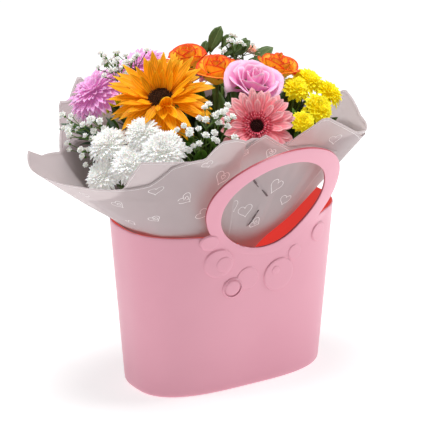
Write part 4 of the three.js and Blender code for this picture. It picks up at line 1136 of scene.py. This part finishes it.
foliage = {  # fork, finish, leaves (tip, width), how many filling leaves stand round it
    "foliage_1": ((26, 42, 312), "ovalLeaf", [
        ((36, 61, 374), 15, (21, 60, 348)), ((60, 39, 359), 16, (40, 46, 343)), ((80, 24, 352), 17, (58, 31, 337)),
        ((43, 53, 366), 10, (33, 54, 353)), ((48, 48, 353), 9, (32, 52, 341)), ((58, 44, 362), 8, (49, 43, 350)),
        ((15, 64, 348), 9, (6, 60, 333)), ((22, 70, 358), 11, (14, 64, 342)), ((66, 34, 340), 12, (50, 34, 328))], 0),
    "foliage_2": ((-84, 54, 252), "greyLeaf", [((-158, 72, 288), 20), ((-150, 92, 276), 18), ((-128, 98, 262), 18)], 70),
    "foliage_3": ((-34, -56, 244), "deepLeaf", [((-96, -78, 272), 20), ((-72, -88, 276), 18), ((-40, -92, 278), 18)], 80),
    "foliage_4": ((84, -30, 248), "deepLeaf", [((118, -48, 284), 18), ((122, -12, 290), 20), ((90, -70, 278), 16)], 80),
    "foliage_5": ((84, 30, 250), "deepLeaf", [((124, 24, 298), 20), ((112, 50, 281), 20), ((92, 74, 280), 18)], 70),
    "foliage_6": ((10, 72, 250), "deepLeaf", [((4, 100, 290), 18), ((-14, 88, 280), 16), ((44, 98, 284), 18)], 80),
}
filling = {"reach": 66, "low": 236, "high": 296, "leaf": (24, 42), "width": (11, 18)}


def hidesHead(place):  # a leaf here would stand in front of a flower's face
    faces = [(spec["at"], spec["face"], spec["radius"]) for spec in heads.values()]
    faces += [one for _, _, places in sprays.values() for one in places]
    for at, face, radius in faces:
        apart, normal = place - Vector(at), direction(*face)
        ahead = apart.dot(normal)
        if -4 < ahead < 40 and (apart - normal * ahead).length < radius * 1.05:
            return True
    return False


def makeFoliage(node, fork, name, leaves, extra, seed):
    shape = Shape(seed)
    rnd, fork = shape.random, Vector(fork)
    for tip, width, *root in leaves:
        foot = Vector(root[0]) if root else fork.lerp(Vector(tip), 0.32)
        rod(shape, [fork, fork.lerp(foot, 0.5) - Vector((0, 0, 1)), foot], [1.3, 0.7], "stem", 6)
        makeLeaf(shape, foot, tip, width, name, round=bool(root), roll=45 if root else 20)
        if root:
            continue
        side = Vector(tip) - foot
        for k in range(3):
            turn = Matrix.Rotation(rnd.choice((-1, 1)) * rnd.uniform(0.5, 1.0), 3, "Z")
            start = fork.lerp(Vector(tip), rnd.uniform(0.3, 0.6))
            makeLeaf(shape, start, start + turn @ side * rnd.uniform(0.5, 0.75), width * 0.7, name)
    for k in range(extra):
        angle, far = rnd.uniform(0, 2 * math.pi), filling["reach"] * math.sqrt(rnd.random())
        foot = fork + Vector((far * math.cos(angle), far * math.sin(angle), 0))
        foot.z = rnd.uniform(filling["low"], filling["high"]) - 12
        out = Vector((foot.x - wrap["centre"], foot.y, 0))
        limit = 100 if abs(out.x) > abs(out.y) * 1.4 else 54 + (foot.z - 224) * 0.36
        if out.length > limit:
            foot -= out.normalized() * (out.length - limit)
        way = out.normalized() * rnd.uniform(0.2, 0.9) + Vector((rnd.uniform(-0.6, 0.6), rnd.uniform(-0.6, 0.6), 0.75))
        finishName = rnd.choice((name, name, "deepLeaf", "brightLeaf"))
        tip = foot + way.normalized() * rnd.uniform(*filling["leaf"])
        if hidesHead(tip):
            continue
        rod(shape, [foot - way * 18, foot - way * 8, foot], 0.6, "stem", 5, 6)
        makeLeaf(shape, foot, tip, rnd.uniform(*filling["width"]), finishName)
    makeStem(shape, node, fork.z - 6, [fork], 1.5)
    return shape.build(camel(node), node, 0.22)


for number, (node, (fork, name, leaves, extra)) in enumerate(foliage.items()):
    makeFoliage(node, fork, name, leaves, extra, 100 + number)
print("foliage built")


def makeFloor():
    size = studio["floorSize"] / 2
    mesh = bpy.data.meshes.new("floor")
    mesh.from_pydata([(-size, -size, 0), (size, -size, 0), (size, size, 0), (-size, size, 0)], [], [(0, 1, 2, 3)])
    floor = bpy.data.objects.new("floor", mesh)
    scene.collection.objects.link(floor)
    made = bpy.data.materials.new("paleFloor")
    made.use_nodes = True
    shader = made.node_tree.nodes["Principled BSDF"]
    shader.inputs["Base Color"].default_value = paint(studio["floorPaint"])
    shader.inputs["Roughness"].default_value = 0.9
    shader.inputs["Emission Color"].default_value = (1, 1, 1, 1)
    shader.inputs["Emission Strength"].default_value = studio["floorGlow"]
    mesh.materials.append(made)


makeFloor()
makeCamera()
makeLights()
print("scene ready")
